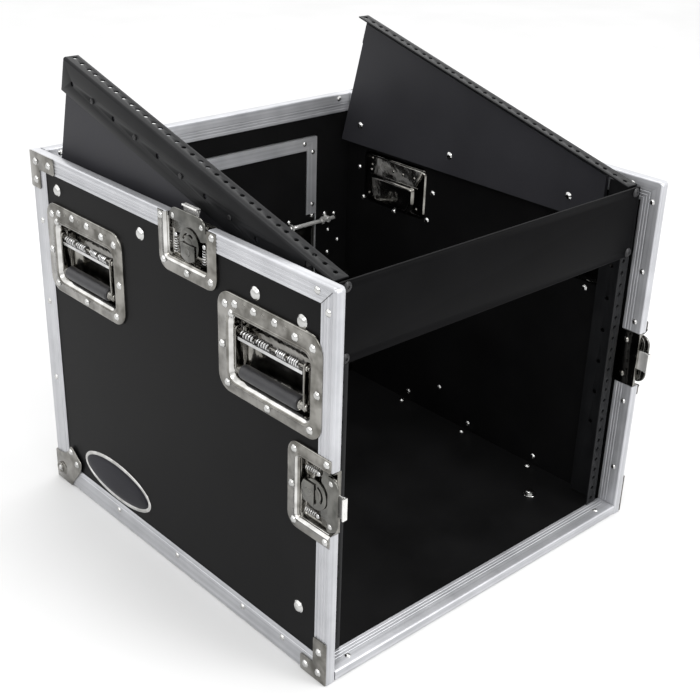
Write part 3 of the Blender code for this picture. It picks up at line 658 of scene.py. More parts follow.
def blank_plate():
    """Two-unit blank plate with slotted ends and its four screws."""
    low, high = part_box("blank_plate")
    spots = [(side * HOLE_X, z) for side in (-1, 1) for z in (low.z + 0.00595, high.z - 0.00595)]
    slots = [rounded(0.0050, 0.0032, 0.00319, spot) for spot in spots]
    corner = rounded((high.x - low.x) / 2, (high.z - low.z) / 2, 0.0008, (0.0, (low.z + high.z) / 2))
    bm = bmesh.new()
    plate_mesh(bm, lambda a, b, n: Vector((a, low.y - n, b)), [corner, *slots], low.y - high.y, 0.0, 0.0004)
    make("blank_front_plate", bm, (PLATE,), CASE, 40.0, ("blank_plate",))
    screws = bmesh.new()
    for x, z in spots:
        turned(screws, (x, low.y, z), (0, -1, 0),
               ((-0.0060, 0.0023), (-0.0001, 0.0023), (-0.0001, 0.0056), (0.0006, 0.0057), (0.0016, 0.0048),
                (0.0024, 0.0030), (0.0025, 0.0016), (0.0014, 0.0010)), 20)
    make("blank_plate_screws", screws, (OXIDE,), CASE)


# ---------------------------------------------------------------- handles
def handle_dish(label, where, side):
    """Pressed dish: raised lip round the opening, stepped floor and finger bowl."""
    node = "handle_%s_%s_dish" % (label, where)
    low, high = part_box(node)
    mid = (low + high) / 2
    half = (high - low) / 2
    open_half, open_low, open_high = HANDLE_OPEN
    open_mid = (mid.y + HANDLE_OFFSET, (open_low + open_high) / 2)
    open_rise = (open_high - open_low) / 2
    place = on_side(side)
    floor = HANDLE_FLOOR
    t = SHEET_PRESSED

    def opening(grow, height):
        radius = max(0.0090 + grow, 0.0008)
        return ring_at(place, rounded(open_half + grow, open_rise + grow, radius, open_mid, steps=7), height)

    def rim(grow, height):
        return ring_at(place, rounded(half.y + grow, half.z - 0.0012 + grow, HANDLE_CORNER + grow,
                                      (mid.y, mid.z), steps=7), height)

    def underside(grow):
        """Rim that rests on the aluminium where the plate laps over an edge, and on the panel elsewhere."""
        points = rim(grow, 0.0004)
        for point in points:
            if LIP - HY <= point.y <= HY - ANGLE:
                point.x = side * (HX + PANEL_FACE)
        return points

    def bowl(grow, height):
        return ring_at(place, rounded(BOWL_HALF[0] + grow, BOWL_HALF[1] + grow, max(0.0060 + grow, 0.001),
                                      (mid.y, BOWL_Z), 0.0185 + grow, 7), height)

    basin = [bowl(-0.0120, BOWL_FLOOR), bowl(-0.0060, BOWL_FLOOR + 0.0002),
             bowl(-0.0030, BOWL_FLOOR + 0.0010), bowl(-0.0012, BOWL_FLOOR + 0.0026),
             bowl(0.0, floor - 0.0008), bowl(0.0010, floor),
             opening(-0.0052, floor), opening(-0.0036, floor + 0.0004), opening(-0.0026, floor + 0.0018)]
    slope = [opening(-0.0018, -0.0036), opening(-0.0008, -0.0018), opening(0.0006, 0.0000),
             opening(0.0021, 0.0017)]
    crest = [opening(0.0036, 0.0029), opening(0.0050, 0.0030), opening(0.0062, 0.0022),
             opening(0.0072, PLATE_TOP)]
    flange = [rim(-0.0024, PLATE_TOP), rim(-0.0009, PLATE_TOP - 0.0003), rim(0.0, PLATE_TOP - 0.0011),
              underside(0.0), underside(-0.0011)]
    back = [opening(0.0076, 0.0002), opening(0.0032, 0.0020), opening(0.0010 + t, 0.0004),
            opening(-0.0006 + t, -0.0040), opening(-0.0026 + t, floor + 0.0012), opening(-0.0040, floor - t),
            bowl(0.0020, floor - t), bowl(t - 0.0002, floor - 0.0020), bowl(-0.0004, BOWL_FLOOR + 0.0012),
            bowl(-0.0030, BOWL_FLOOR - t + 0.0002), bowl(-0.0060, BOWL_FLOOR - t),
            bowl(-0.0120, BOWL_FLOOR - t - 0.0001)]
    bm = bmesh.new()
    loft(bm, basin + slope + crest + flange + back)
    # The sloping inner wall of the lip gets the paler nickel: a painted highlight.
    paint_rows(bm, len(basin), len(basin) + len(slope) - 1, len(crest[0]), 1)
    fold = rounded(0.0520, 0.0011, 0.0010, (mid.y, STEP_Z))
    plate_mesh(bm, place, [fold], floor - t - 0.0010, floor + 0.0012, 0.0007)
    for u in (0.0375, 0.0065, -0.0285, -0.0515):
        rivet(bm, place, mid.y + u, mid.z + 0.0500, PLATE_TOP - 0.0003, 0.0036, 0.0010)
    behind = (lambda a, b, n: place(a, b, floor - t - n))
    for u, z in ((0.0, 0.3700), (-0.0200, 0.3700), (-0.0430, 0.3700), (0.0450, 0.3800), (0.0450, 0.3700),
                 (0.0460, 0.3620), (0.0500, 0.3250), (-0.0500, 0.3250)):
        rivet(bm, behind, mid.y + u, z, -0.0001, 0.0024, 0.0014)
    make(node.replace("_dish", "_pressed_dish"), bm, (NICKEL, PALE_NICKEL_AND_HIGHLIGHT), smooth=50.0, replaces=(node,))

    spots = ((-0.0695, 0.0435), (0.0695, 0.0435), (0.0755, -0.0045), (-0.0768, -0.0045),
             (-0.0670, -0.0475), (0.0670, -0.0475), (0.0, -0.0515), (0.0590, 0.0355),
             (0.0530, 0.0480), (0.0220, 0.0500), (-0.0115, 0.0500), (-0.0430, 0.0460))
    on_plate = (lambda u, v, n: place(mid.y + u, mid.z + v, n))
    rivets("handle_rivets_%s_%s" % (label, where), ((on_plate, spots, PLATE_TOP - 0.0001, 0.0047, 0.0024),))


def handle_bail(label, where, side):
    """Bail frame with rolled edges, rubber grip, axle, springs and the strap under them."""
    body = "handle_%s_%s" % (label, where)
    low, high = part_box(body + "_bail")
    yc = (low.y + high.y) / 2
    x = PIVOT.x
    half = 0.0044
    turns = [math.pi / 8 * i for i in range(9)]
    strip = [(half * math.cos(t), PIVOT.z + 0.0016 + half * math.sin(t)) for t in turns]
    strip += [(-half * math.cos(t), GRIP_Z - 0.0014 - half * math.sin(t)) for t in turns]
    bm = bmesh.new()
    for way in (-1, 1):
        def arm(a, b, n, way=way):
            return Vector((side * (x + a), yc + way * n, b))

        plate_mesh(bm, arm, [strip], *ARM_SPAN, 0.0005)
        for z, radius in ((GRIP_Z, 0.0042), (PIVOT.z, 0.0036)):
            turned(bm, arm(0.0, z, 0.0555), (0, way, 0),
                   ((0.0, radius), (0.0014, radius), (0.0022, radius * 0.85), (0.0027, radius * 0.5)), 18)
        turned(bm, arm(0.0, GRIP_Z, 0.0465), (0, way, 0),
               ((0.0, 0.0058), (0.0010, 0.0062), (0.0022, 0.0062), (0.0030, 0.0050), (0.0076, 0.0046)))
    turned(bm, (side * x, yc - 0.0600, PIVOT.z), (0, 1, 0),
           ((0.0, 0.0017), (0.0006, 0.0019), (0.1194, 0.0019), (0.1200, 0.0017)), 16)
    turned(bm, (side * x, yc - 0.0540, GRIP_Z), (0, 1, 0), ((0.0, 0.0030), (0.1080, 0.0030)), 16)
    make(body + "_bail_frame", bm, (NICKEL,), body, smooth=40.0, replaces=(body + "_bail",))

    length = 0.0464
    ends = [(length, 0.0040), (length, GRIP_R - 0.0016), (length - 0.0006, GRIP_R - 0.0006),
            (length - 0.0018, GRIP_R - 0.0001)]
    profile = [(-along, radius) for along, radius in ends]
    profile += [(-length + 0.0030 + (2 * length - 0.0060) * i / 8, GRIP_R) for i in range(9)]
    profile += ends[::-1]
    grip = bmesh.new()
    turned(grip, (side * x, yc, GRIP_Z), (0, 1, 0), profile, 32)
    make(body + "_rubber_grip", grip, (RUBBER,), body, 40.0, (body + "_grip",))

    coils = bmesh.new()
    for start, stop in ((0.0460, 0.0250), (0.0200, 0.0010), (-0.0110, -0.0250), (-0.0300, -0.0450)):
        points = []
        for i in range(61):
            angle = TAU * i / 12
            points.append((side * (x + 0.0036 * math.cos(angle)), yc + start + (stop - start) * i / 60,
                           PIVOT.z + 0.0036 * math.sin(angle)))
        wire(coils, points, 0.0010)
    strap = rounded(0.0520, 0.0020, 0.0008, (yc, STRAP_Z))
    plate_mesh(coils, on_side(side), [strap], -0.0062, -0.0010, 0.0005)
    make(body + "_torsion_springs", coils, (SPRING,))


# ---------------------------------------------------------------- latches
def latch_dish(name, place, body, node, laps):
    """Pressed latch dish, open towards the edge, with its cover, pillars and rivets.

    place takes (u along the edge, w out over it, height).
    """
    def path(half, deep, radius, height, hug=False):
        points = [(half, 0.0)]
        points += [(half - radius + radius * math.cos(t), -deep + radius + radius * math.sin(t))
                   for t in [-math.pi / 12 * i for i in range(7)]]
        points += [(-u, w) for u, w in reversed(points)]
        if not hug:
            return [place(u, w, height) for u, w in points]
        return [place(u, w, 0.0002 if w > -laps else PANEL_FACE) for u, w in points]

    base = PLATE_TOP
    t = SHEET_PRESSED
    bm = bmesh.new()
    profile = [
        path(TRAY_HALF - 0.0020, TRAY_DEEP - 0.0020, 0.0020, TRAY_FLOOR),
        path(TRAY_HALF - 0.0006, TRAY_DEEP - 0.0006, 0.0030, TRAY_FLOOR + 0.0008),
        path(TRAY_HALF, TRAY_DEEP, 0.0035, TRAY_FLOOR + 0.0024), path(TRAY_HALF, TRAY_DEEP, 0.0035, -0.0040),
        path(TRAY_HALF + 0.0008, TRAY_DEEP + 0.0012, 0.0042, -0.0022),
        path(TRAY_HALF + 0.0016, TRAY_DEEP + 0.0024, 0.0050, -0.0004),
        path(TRAY_HALF + 0.0026, TRAY_DEEP + 0.0036, 0.0060, 0.0014),
        path(TRAY_HALF + 0.0038, TRAY_DEEP + 0.0048, 0.0074, 0.0027),
        path(TRAY_HALF + 0.0050, TRAY_DEEP + 0.0060, 0.0086, 0.0025),
        path(TRAY_HALF + 0.0060, TRAY_DEEP + 0.0070, 0.0096, base),
        path(LATCH_HALF - 0.0022, LATCH_DEEP - 0.0022, 0.0138, base),
        path(LATCH_HALF - 0.0008, LATCH_DEEP - 0.0008, 0.0148, base - 0.0003),
        path(LATCH_HALF, LATCH_DEEP, 0.0155, base - 0.0011), path(LATCH_HALF, LATCH_DEEP, 0.0155, 0.0, True),
        path(LATCH_HALF - 0.0010, LATCH_DEEP - 0.0010, 0.0145, 0.0, True),
        path(TRAY_HALF + 0.0062, TRAY_DEEP + 0.0072, 0.0096, 0.0002),
        path(TRAY_HALF + 0.0036, TRAY_DEEP + 0.0046, 0.0074, 0.0019),
        path(TRAY_HALF + t, TRAY_DEEP + t, 0.0046, -0.0010),
        path(TRAY_HALF + t, TRAY_DEEP + t, 0.0046, TRAY_FLOOR - t),
        path(TRAY_HALF - 0.0020, TRAY_DEEP - 0.0020, 0.0020, TRAY_FLOOR - t)]
    profile.append(profile[0])
    loft(bm, profile, closed=False, caps=False)
    # The rows of the rising lip get the paler nickel: a painted highlight.
    paint_rows(bm, 4, 7, len(profile[0]) - 1, 2)
    ends = [[ring[0] for ring in profile[:-1]], [ring[-1] for ring in profile[:-1]]]
    for end in ends:
        bm.faces.new([bm.verts.new(p) for p in end])
    floor_u = TRAY_HALF - 0.0016
    floor_w = 0.0016 - TRAY_DEEP
    floor = [(floor_u, -0.0003), (-floor_u, -0.0003), (-floor_u, floor_w), (floor_u, floor_w)]
    plate_mesh(bm, place, [floor], TRAY_FLOOR - t, TRAY_FLOOR, 0.0002)

    half = 0.0328
    reach = 0.0038 if node.endswith("_dish") else -0.0014

    def shoulders(low, high, shoulder):
        arc = [math.pi / 12 * i for i in range(7)]
        right = [(half - shoulder + shoulder * math.cos(t), high - shoulder + shoulder * math.sin(t))
                 for t in arc]
        return [(half, low)] + right + [(-u, w) for u, w in reversed(right)] + [(-half, low)]

    plate = shoulders(-0.0165, reach, 0.0120) + [(-0.0210, -0.0200), (0.0210, -0.0200)]
    plate_mesh(bm, place, [plate], -0.0056, -0.0041, 0.0005, 1)
    crown = reach + 0.0052 if reach > 0 else reach
    plate_mesh(bm, place, [shoulders(-0.0062, crown, 0.0125)], -0.0033, -0.0004, 0.0010, 1)
    axis = place(0.0, 0.0, 1.0) - place(0.0, 0.0, 0.0)
    for u in (-0.0255, 0.0255):
        turned(bm, place(u, -0.0035, TRAY_FLOOR), axis, ((0.0, 0.0030), (-TRAY_FLOOR - 0.0012, 0.0030)), 14)
    make(name + "_pressed_dish", bm, (NICKEL, DARK, PALE_NICKEL_AND_HIGHLIGHT), body, smooth=45.0, replaces=(node,))

    rim = ((0.0460, -0.0060), (-0.0460, -0.0060), (0.0430, -0.0560), (-0.0430, -0.0560), (0.0, -0.0595))
    posts = ((-0.0255, -0.0012), (0.0255, -0.0012))
    rivets(name + "_rivets", ((place, rim, base - 0.0001, 0.0044, 0.0022),
                              (place, posts, -0.0006, 0.0032, 0.0012)), body)


def latch_disc(name, place, body, node):
    """Turning disc with a raised rim and a curved slot, on its post."""
    bm = bmesh.new()
    turns = [math.radians(20 + 10 * i) for i in range(12)]
    slot = [(0.0120 * math.cos(t), ROTOR_W + 0.0120 * math.sin(t)) for t in turns]
    slot += [(0.0094 * math.cos(t), ROTOR_W + 0.0094 * math.sin(t)) for t in reversed(turns)]
    plate_mesh(bm, place, [circle(0.0, ROTOR_W, 0.0174, 40), slot], -0.0038, -0.0024, 0.0004)
    axis = place(0, 0, 1.0) - place(0, 0, 0.0)
    turned(bm, place(0.0, ROTOR_W, TRAY_FLOOR + 0.0003), axis, ((0.0, 0.0050), (0.0052, 0.0050)), 20)
    turned(bm, place(0.0, ROTOR_W, -0.0026), axis, ((0.0, 0.0062), (0.0004, 0.0062), (0.0006, 0.0056)), 24)
    make(name + "_disc", bm, (DARK,), body, 40.0, (node,) if node else ())


def latch_wing(name, place, body, node):
    """Folding wing with a rolled edge and a finger dimple."""
    half = 0.0125
    reach = 0.0200
    wide = math.asin(half / reach)
    loop = [(half, ROTOR_W - 0.0005)]
    loop += [(reach * math.sin(wide * (1 - i / 5)), ROTOR_W - reach * math.cos(wide * (1 - i / 5)))
             for i in range(11)]
    loop.append((-half, ROTOR_W - 0.0005))
    bm = bmesh.new()
    plate_mesh(bm, place, [loop], -0.0018, -0.0002, 0.0006)
    axis = place(0, 0, 1.0) - place(0, 0, 0.0)
    turned(bm, place(0.0, ROTOR_W - 0.0085, -0.0004), axis,
           ((0.0, 0.0052), (0.0007, 0.0048), (0.0008, 0.0036), (0.0003, 0.0024), (0.0001, 0.0008)), 24)
    barrel = place(half, ROTOR_W - 0.0010, -0.0010)
    across = place(-half, ROTOR_W - 0.0010, -0.0010) - barrel
    turned(bm, barrel, across, ((0.0, 0.0011), (across.length, 0.0011)), 12)
    make(name + "_folding_wing", bm, (DARK,), body, 40.0, (node,) if node else ())


def latch_hook(name, place, body, node):
    """Sliding hook with a turned-up lip."""
    half = 0.0129
    path = [(-0.0070, -0.0072), (0.0110, -0.0072), (0.0128, -0.0067), (0.0136, -0.0058), (0.0137, -0.0038)]
    bm = bmesh.new()
    rings = []
    sheet = 0.0009
    for i, (w, n) in enumerate(path):
        before = Vector(path[max(i - 1, 0)])
        after = Vector(path[min(i + 1, len(path) - 1)])
        run = (after - before).normalized()
        off = Vector((-run.y, run.x)) * sheet
        section = [(w + off.x, n + off.y), (w - off.x, n - off.y)]
        rings.append([place(-half, *section[0]), place(half, *section[0]), place(half, *section[1]),
                      place(-half, *section[1])])
    loft(bm, rings)
    for start, stop, deep, front in ((0.0124, 0.0143, -0.0100, -0.0036), (0.0098, 0.0142, -0.0095, -0.0060)):
        bar = [(-half, start), (half, start), (half, stop), (-half, stop)]
        plate_mesh(bm, place, [bar], deep, front, 0.0005)
    soften(make(name + "_hook_bar", bm, (ZINC,), body, 40.0, (node,)), 0.0003)


def latch_springs(name, place, body):
    """Two small coil springs beside the disc."""
    bm = bmesh.new()
    for u in (-0.0255, 0.0255):
        points = []
        for i in range(61):
            angle = TAU * i / 10
            points.append(place(u + 0.0026 * math.cos(angle), -0.0270 - 0.0170 * i / 60,
                                TRAY_FLOOR + 0.0034 + 0.0026 * math.sin(angle)))
        wire(bm, points, 0.0006)
        disc(bm, place, u, -0.0235, TRAY_FLOOR, TRAY_FLOOR + 0.0050, 0.0026)
    make(name + "_coil_springs", bm, (SPRING,), body)


def latches():
    """The four twist latches of the lids and the two of the rear door."""
    for label, side in SIDES:
        face = on_side(side)
        for where in ("top", "front"):
            key = "latch_%s_%s" % (label, where)
            low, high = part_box(key + "_rotor")
            mid = (low + high) / 2
            if where == "top":
                place = (lambda u, w, n, face=face, mid=mid: face(mid.y + u, TOP + w, n))
            else:
                place = (lambda u, w, n, face=face, mid=mid: face(-HY - w, mid.z + u, n))
            latch_dish(key, place, CASE, key + "_dish", LIP)
            latch_disc(key, place, key + "_turn", key + "_rotor")
            latch_wing(key, place, key + "_wing_leaf", key + "_wing")
            latch_hook(key, place, key + "_hook_bar", key + "_hook")
            latch_springs(key, place, CASE)
        key = "rear_latch_" + label
        edge = side * DOOR_HIGH.x
        place = (lambda u, w, n, edge=edge, side=side: on_back(edge + side * w, DOOR_MID + u, n))
        latch_dish(key, place, "rear_door", key, 0.0190)
        latch_disc(key, place, "rear_door", None)
        latch_wing(key, place, "rear_door", None)
        latch_springs(key, place, "rear_door")
        strike(label, side)


def strike(label, side):
    """Keeper dish on the back panel beside a rear latch."""
    edge = DOOR_HIGH.x + 0.0012

    def place(a, b, n):
        return on_back(side * (edge + a), DOOR_MID + b, n)

    bm = bmesh.new()
    outer = rounded(0.0200, 0.0520, 0.0060, (0.0205, 0.0))
    window = rounded(0.0085, 0.0200, 0.0020, (0.0125, 0.0))
    plate_mesh(bm, place, [outer, window], PANEL_FACE, PLATE_TOP - 0.0006, 0.0005)
    plate_mesh(bm, place, [rounded(0.0095, 0.0210, 0.0020, (0.0125, 0.0))], PANEL_FACE - 0.0030,
               PANEL_FACE - 0.0020, 0.0003)
    loft(bm, [ring_at(place, rounded(0.0086, 0.0201, 0.0020, (0.0125, 0.0)), h) for h in (-0.0042, -0.0012)],
         caps=False)
    make("rear_strike_" + label, bm, (NICKEL,), smooth=40.0)
    spots = ((0.0060, 0.0440), (0.0340, 0.0440), (0.0060, -0.0440), (0.0340, -0.0440), (0.0350, 0.0))
    rivets("rear_strike_rivets_" + label, ((place, spots, PLATE_TOP - 0.0008, 0.0040, 0.0020),))


# ---------------------------------------------------------------- corners
def ball_corner(label, side):
    """Pressed corner: plates on the side and back that swell into a rounded ball."""
    node = "ball_corner_" + label
    face = on_side(side)
    rear = (lambda a, b, n: on_back(side * (HX - (HY - a)), b, n))
    outline = [(HY - 0.0010, 0.0006), (0.2455, 0.0006), (0.2425, 0.0060), (0.2215, 0.0310), (0.2170, 0.0400),
               (0.2158, 0.0465), (0.2175, 0.0495), (0.2370, 0.0640), (0.2405, 0.0645), (0.2435, 0.0615),
               (0.2480, 0.0545), (0.2560, 0.0480), (0.2690, 0.0440), (HY - 0.0010, 0.0425)]
    bm = bmesh.new()
    for place in (face, rear):
        plate_mesh(bm, place, [outline], 0.0003, 0.0019, 0.0006)
    turns = [math.pi / 16 * i for i in range(9)]
    loft(bm, [[Vector((side * (HX - 0.0012 + 0.0031 * math.sin(t)), HY - 0.0012 + 0.0031 * math.cos(t), z))
               for t in turns] + [Vector((side * (HX - 0.0020), HY - 0.0020, z))] for z in (0.0010, 0.0420)])
    centre = Vector((side * (HX - 0.0160), HY - 0.0160, 0.0185))
    radius = 0.0203
    lifts = [-math.pi / 2 + math.pi * i / 18 for i in range(1, 18)]
    loft(bm, [[Vector((centre.x + side * a, centre.y + b, max(centre.z + radius * math.sin(lift), 0.0002)))
               for a, b in circle(0.0, 0.0, radius * math.cos(lift), 40)] for lift in lifts])
    for place in (face, rear):
        disc(bm, place, HY - 0.0120, 0.0190, 0.0012, 0.0046, 0.0078, 0.0056, 28)
        disc(bm, place, HY - 0.0120, 0.0190, 0.0012, 0.0038, 0.0056, 0.0, 28)
    make("rounded_corner_" + label, bm, (NICKEL,), smooth=50.0, replaces=(node,))
    tips = ((0.2405, 0.0560), (0.2270, 0.0420))
    centre = ((HY - 0.0120, 0.0190),)
    groups = [(place, tips, 0.0018, 0.0047, 0.0024) for place in (face, rear)]
    groups += [(place, centre, 0.0037, 0.0042, 0.0018) for place in (face, rear)]
    rivets("rounded_corner_rivets_" + label, groups)


def flat_bracket(name, node, side, corner, da, db, leg_a, leg_b, spots):
    """Flat corner bracket with three rivets."""
    ca, cb = corner
    arm = 0.0212
    inner = 0.0030
    tip = 0.0015
    loop = [(0.0010, 0.0), (leg_a - tip, 0.0), (leg_a, tip), (leg_a, arm - tip), (leg_a - tip, arm)]
    loop += [(arm + inner - inner * math.sin(t), arm + inner - inner * math.cos(t)) for t in
             [math.pi / 8 * i for i in range(5)]]
    loop += [(arm, leg_b - tip), (arm - tip, leg_b), (tip, leg_b), (0.0, leg_b - tip), (0.0, 0.0010)]
    place = (lambda a, b, n: on_side(side)(ca + da * a, cb + db * b, n))
    bm = bmesh.new()
    plate_mesh(bm, place, [loop], 0.0003, 0.0017, 0.0005)
    make(name, bm, (NICKEL,), smooth=40.0, replaces=(node,))
    rivets(name + "_rivets", ((place, spots, 0.0016, 0.0047, 0.0024),))


def corners():
    """All corner hardware."""
    for label, side in SIDES:
        ball_corner(label, side)
        flat_bracket("front_foot_bracket_" + label, "bracket_front_" + label, side, (-HY, 0.0), 1, 1, 0.0420,
                     0.0560, ((0.0120, 0.0120), (0.0330, 0.0110), (0.0115, 0.0400)))
        flat_bracket("back_top_bracket_" + label, "bracket_back_" + label, side, (HY, TOP), -1, -1, 0.0560,
                     0.0460, ((0.0130, 0.0120), (0.0440, 0.0110), (0.0125, 0.0350)))


# ---------------------------------------------------------------- rear door, rod and badge
def rear_door():
    """Door frame profile with its rivets."""
    trim = NODES["rear_door_trim"]
    surface("rear_door_trim", ALU_X, 0.0005)
    trim.data.materials.append(ALU_Z)
    for poly in trim.data.polygons:
        c = poly.center
        upright = abs(c.x) > DOOR_HIGH.x - 0.0191 and DOOR_LOW.z + 0.019 < c.z < DOOR_HIGH.z - 0.019
        poly.material_index = 1 if upright else 0
    frame_spots = [(sx * (DOOR_HIGH.x - x), z)
                   for x, up in ((0.0075, 0.0230), (0.0240, 0.0085), (0.0075, 0.1040))
                   for z in (DOOR_HIGH.z - up, DOOR_LOW.z + up) for sx in (-1, 1)]
    latch_spots = [(sx * x, DOOR_MID + sz * z) for x, z in ((0.1840, 0.0545), (0.1390, 0.0515))
                   for sx in (-1, 1) for sz in (-1, 1)]
    groups = ((on_back, frame_spots, 0.0, 0.0036, 0.0016), (inside_back, frame_spots, 0.0018, 0.0036, 0.0016),
              (inside_back, latch_spots, 0.0, 0.0044, 0.0024))
    rivets("rear_door_rivets", groups, "rear_door")


def stop_rod():
    """Threaded rod behind the door latch, with its nuts."""
    low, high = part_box("door_stop_rod")
    y = 0.2635
    z = (low.z + high.z) / 2
    bm = bmesh.new()
    turned(bm, (low.x, y, z), (1, 0, 0), ((0.0, 0.0026), (0.0010, 0.0032), (high.x - low.x + 0.0070, 0.0032),
                                          (high.x - low.x + 0.0080, 0.0026)), 20)
    for x in (low.x + 0.0012, high.x - 0.0180):
        hexagon(bm, lambda a, b, n: Vector((n, y + a, z + b)), 0.0, 0.0, x, x + 0.0042, 0.0056)
    turned(bm, (0.2100, y - 0.0030, z), (0, 1, 0),
           ((0.0, 0.0040), (0.0006, 0.0046), (BACK_IN - y + 0.0026, 0.0046)))
    make("door_stop_threaded_rod", bm, (ZINC,), smooth=40.0, replaces=("door_stop_rod",))


def badge():
    """Blank oval badge: dark domed field in a bright rim."""
    low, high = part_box("side_badge")
    yc = (low.y + high.y) / 2
    zc = (low.z + high.z) / 2
    half_y = (high.y - low.y) / 2
    half_z = (high.z - low.z) / 2
    place = on_side(-1)

    def oval(grow, height):
        turns = [TAU * i / 64 for i in range(64)]
        return [place(yc + (half_y + grow) * math.cos(t), zc + (half_z + grow) * math.sin(t),
                      height + PANEL_FACE) for t in turns]

    bm = bmesh.new()
    loft(bm, [oval(-0.0050, 0.0), oval(-0.0002, 0.0), oval(0.0, 0.0005), oval(-0.0008, 0.0013),
              oval(-0.0030, 0.0017), oval(-0.0048, 0.0013), oval(-0.0052, 0.0009), oval(-0.0060, 0.0008),
              oval(-0.0150, 0.0008)])
    loft(bm, [oval(-0.0056, 0.0002), oval(-0.0056, 0.0010), oval(-0.0066, 0.0014), oval(-0.0110, 0.0018),
              oval(-0.0180, 0.0021), oval(-0.0240, 0.0022)], material=1)
    make("oval_badge", bm, (PALE_NICKEL_AND_HIGHLIGHT, FIELD), CASE, 40.0, ("side_badge",))


# ---------------------------------------------------------------- bolts and rivets of the box
def box_fasteners():
    """Carriage bolts, edge rivets and the bolt ends that show inside."""
    board_bolts = ((0.2260, 0.4290), (0.0460, 0.4260), (-0.1600, 0.4230))
    rail_bolts = ((-0.2327, 0.4180), (-0.2327, 0.0780))
    wall_ends = ((0.0520, 0.0580), (0.1160, 0.0250), (-0.0100, 0.0220), (-0.1360, 0.0230), (0.2450, 0.3580),
                 (0.2350, 0.3130), (0.1680, 0.3080), (0.0905, 0.3560), (0.0990, 0.3130), (-0.1880, 0.3020),
                 (-0.1180, 0.3080), (-0.1150, 0.3560))
    back_ends = ((0.2103, 0.2855), (0.2297, 0.2818), (0.2383, 0.2368), (0.2290, 0.1968), (0.2530, 0.1748),
                 (0.2182, 0.2572), (0.2176, 0.2207))
    sunk = -0.0001
    for label, side in SIDES:
        face = on_side(side)
        web = (lambda a, b, n, side=side: Vector((side * (HX - CHANNEL - n), a, b)))
        back_web = (lambda a, b, n, side=side: Vector((side * a, HY - CHANNEL - n, b)))
        sill = (lambda a, b, n, side=side: Vector((side * a, b, CHANNEL + n)))
        back_leg = (lambda a, b, n, side=side: on_back(side * (HX - a), b, n))
        rivets("carriage_bolts_" + label, ((face, board_bolts + rail_bolts, PANEL_FACE, 0.0075, 0.0036),))

        along_bottom = [(y, 0.0200) for y in (0.1270, -0.0040, -0.1350, -0.2070)]
        up_back = [(HY - 0.0160, z) for z in (0.1600, 0.2700, 0.3800)]
        up_back_leg = [(0.0160, z) for z in (0.1600, 0.2700, 0.3800)]
        in_front = [(0.0110 - HY, z) for z in (0.4410, 0.3510, 0.2830, 0.1700, 0.0700)]
        along_top = [(y, TOP - 0.0110) for y in (0.2000, 0.0600, -0.1400, -0.2400)]
        rivets("edge_rivets_" + label, (
            (face, along_bottom + up_back, sunk, 0.0040, 0.0020),
            (face, ((-0.2555, 0.4585), (-0.2716, 0.4407)), sunk, 0.0042, 0.0021),
            (back_leg, up_back_leg, sunk, 0.0040, 0.0020),
            (web, in_front + along_top, sunk, 0.0036, 0.0018),
            (sill, ((0.2250, 0.0110 - HY),), sunk, 0.0036, 0.0018),
            (back_web, ((0.2322, TOP - 0.0073),), sunk, 0.0040, 0.0020)))

        nuts = bmesh.new()
        for y, z in wall_ends:
            rivet(nuts, inside_side(side), y, z, sunk, 0.0044, 0.0024)
        for y in (0.1200, -0.0080, -0.1360):
            rivet(nuts, on_floor, side * 0.2460, y, sunk, 0.0044, 0.0024)
        disc(nuts, on_floor, side * 0.1900, -0.1860, 0.0, 0.0014, 0.0095, 0.0030)
        hexagon(nuts, on_floor, side * 0.1900, -0.1860, 0.0014, 0.0058, 0.0060)
        make("inner_bolt_ends_" + label, nuts, (RIVET,))

        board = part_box("slant_board_" + label)
        board_x = min(abs(board[0].x), abs(board[1].x))
        on_board = (lambda a, b, n, side=side, board_x=board_x: Vector((side * (board_x - n), a, b)))
        rivets("board_bolt_ends_" + label, ((on_board, board_bolts, sunk, 0.0052, 0.0026),))

    both = [(sx * x, z) for x, z in back_ends for sx in (-1, 1)]
    rivets("back_wall_bolt_ends", ((inside_back, both, sunk, 0.0044, 0.0024),))


# ---------------------------------------------------------------- studio
def look_from(position, azimuth, elevation, roll, lens):
    """Camera by its place and its angles in degrees."""
    az, el, ro = (math.radians(v) for v in (azimuth, elevation, roll))
    forward = Vector((math.cos(el) * math.sin(az), math.cos(el) * math.cos(az), math.sin(el)))
    right = Vector((math.cos(az), -math.sin(az), 0.0))
    up = right.cross(forward)
    right, up = (right * math.cos(ro) + up * math.sin(ro), up * math.cos(ro) - right * math.sin(ro))
    data = bpy.data.cameras.new("camera")
    data.lens = lens
    data.sensor_width = 36.0
    data.clip_start = 0.01
    ob = bpy.data.objects.new("camera", data)
    turn = Matrix((right, up, -forward)).transposed().to_4x4()
    ob.matrix_world = Matrix.Translation(position) @ turn
    bpy.context.scene.collection.objects.link(ob)
    bpy.context.scene.camera = ob


def area_light(name, position, target, size, power):
    """Soft square light aimed at a point."""
    data = bpy.data.lights.new(name, "AREA")
    data.shape = "SQUARE"
    data.size = size
    data.energy = power
    ob = bpy.data.objects.new(name, data)
    ob.location = position
    ob.rotation_euler = (Vector(target) - Vector(position)).to_track_quat("-Z", "Y").to_euler()
    bpy.context.scene.collection.objects.link(ob)


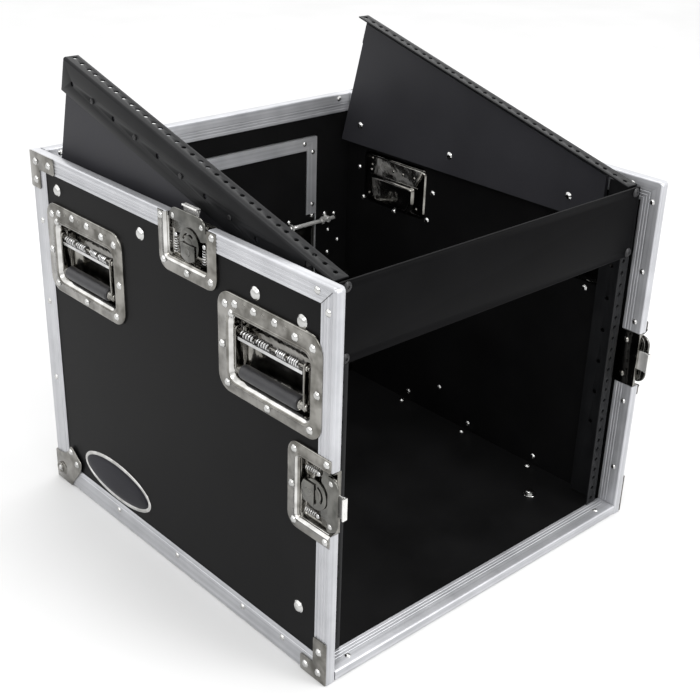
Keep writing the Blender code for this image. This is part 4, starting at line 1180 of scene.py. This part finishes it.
def studio():
    """Pale floor, white surround and soft lights."""
    bm = bmesh.new()
    bmesh.ops.create_grid(bm, x_segments=2, y_segments=2, size=6.0)
    mesh = bpy.data.meshes.new("floor")
    bm.to_mesh(mesh)
    bm.free()
    mat = new_material("floor", (0.60, 0.60, 0.60), 0.80, Specular_IOR_Level=0.0)
    colour_from(mat, noise(mat, 3.0, 2.0), (0.59, 0.59, 0.59), (0.61, 0.61, 0.61))
    mesh.materials.append(mat)
    floor = bpy.data.objects.new("floor", mesh)
    floor.location.z = -0.0004
    bpy.context.scene.collection.objects.link(floor)

    world = bpy.data.worlds.new("studio")
    world.use_nodes = True
    nodes = world.node_tree.nodes
    links = world.node_tree.links
    coords = nodes.new("ShaderNodeTexCoord")
    split = nodes.new("ShaderNodeSeparateXYZ")
    ramp = nodes.new("ShaderNodeValToRGB")
    levels = ((0.0, 0.50), (0.14, 0.55), (0.36, 1.0), (0.60, 1.0), (1.0, 0.62))
    ramp.color_ramp.elements[1].position = levels[-1][0]
    for position, _ in levels[1:-1]:
        ramp.color_ramp.elements.new(position)
    for element, (_, value) in zip(ramp.color_ramp.elements, levels):
        element.color = (value, value, value, 1.0)
    back = nodes["Background"]
    back.inputs["Strength"].default_value = 1.85
    links.new(coords.outputs["Generated"], split.inputs["Vector"])
    links.new(split.outputs["Z"], ramp.inputs["Fac"])
    links.new(ramp.outputs["Color"], back.inputs["Color"])
    bpy.context.scene.world = world
    bpy.context.scene.view_settings.view_transform = "Standard"
    area_light("key", (0.9, -2.2, 2.6), (0.0, 0.0, 0.25), 1.1, 34.0)
    area_light("top", (0.1, 0.3, 2.9), (0.0, 0.0, 0.1), 1.2, 26.0)
    area_light("front", (0.7, -2.9, 0.9), (0.0, -0.28, 0.2), 1.8, 30.0)
    area_light("left_fill", (-2.6, -0.9, 1.9), (0.0, 0.0, 0.25), 1.0, 20.0)


look_from((-0.9387, -1.0181, 0.8899), 43.219, -25.842, 1.875, 60.78)
studio()
panels()
all_edges()
mitre_joints()
front_rails()
slant_rails()
blank_plate()
for side_label, side_sign in SIDES:
    for spot_name in ("front", "back"):
        handle_dish(side_label, spot_name, side_sign)
        handle_bail(side_label, spot_name, side_sign)
latches()
corners()
rear_door()
stop_rod()
badge()
box_fasteners()
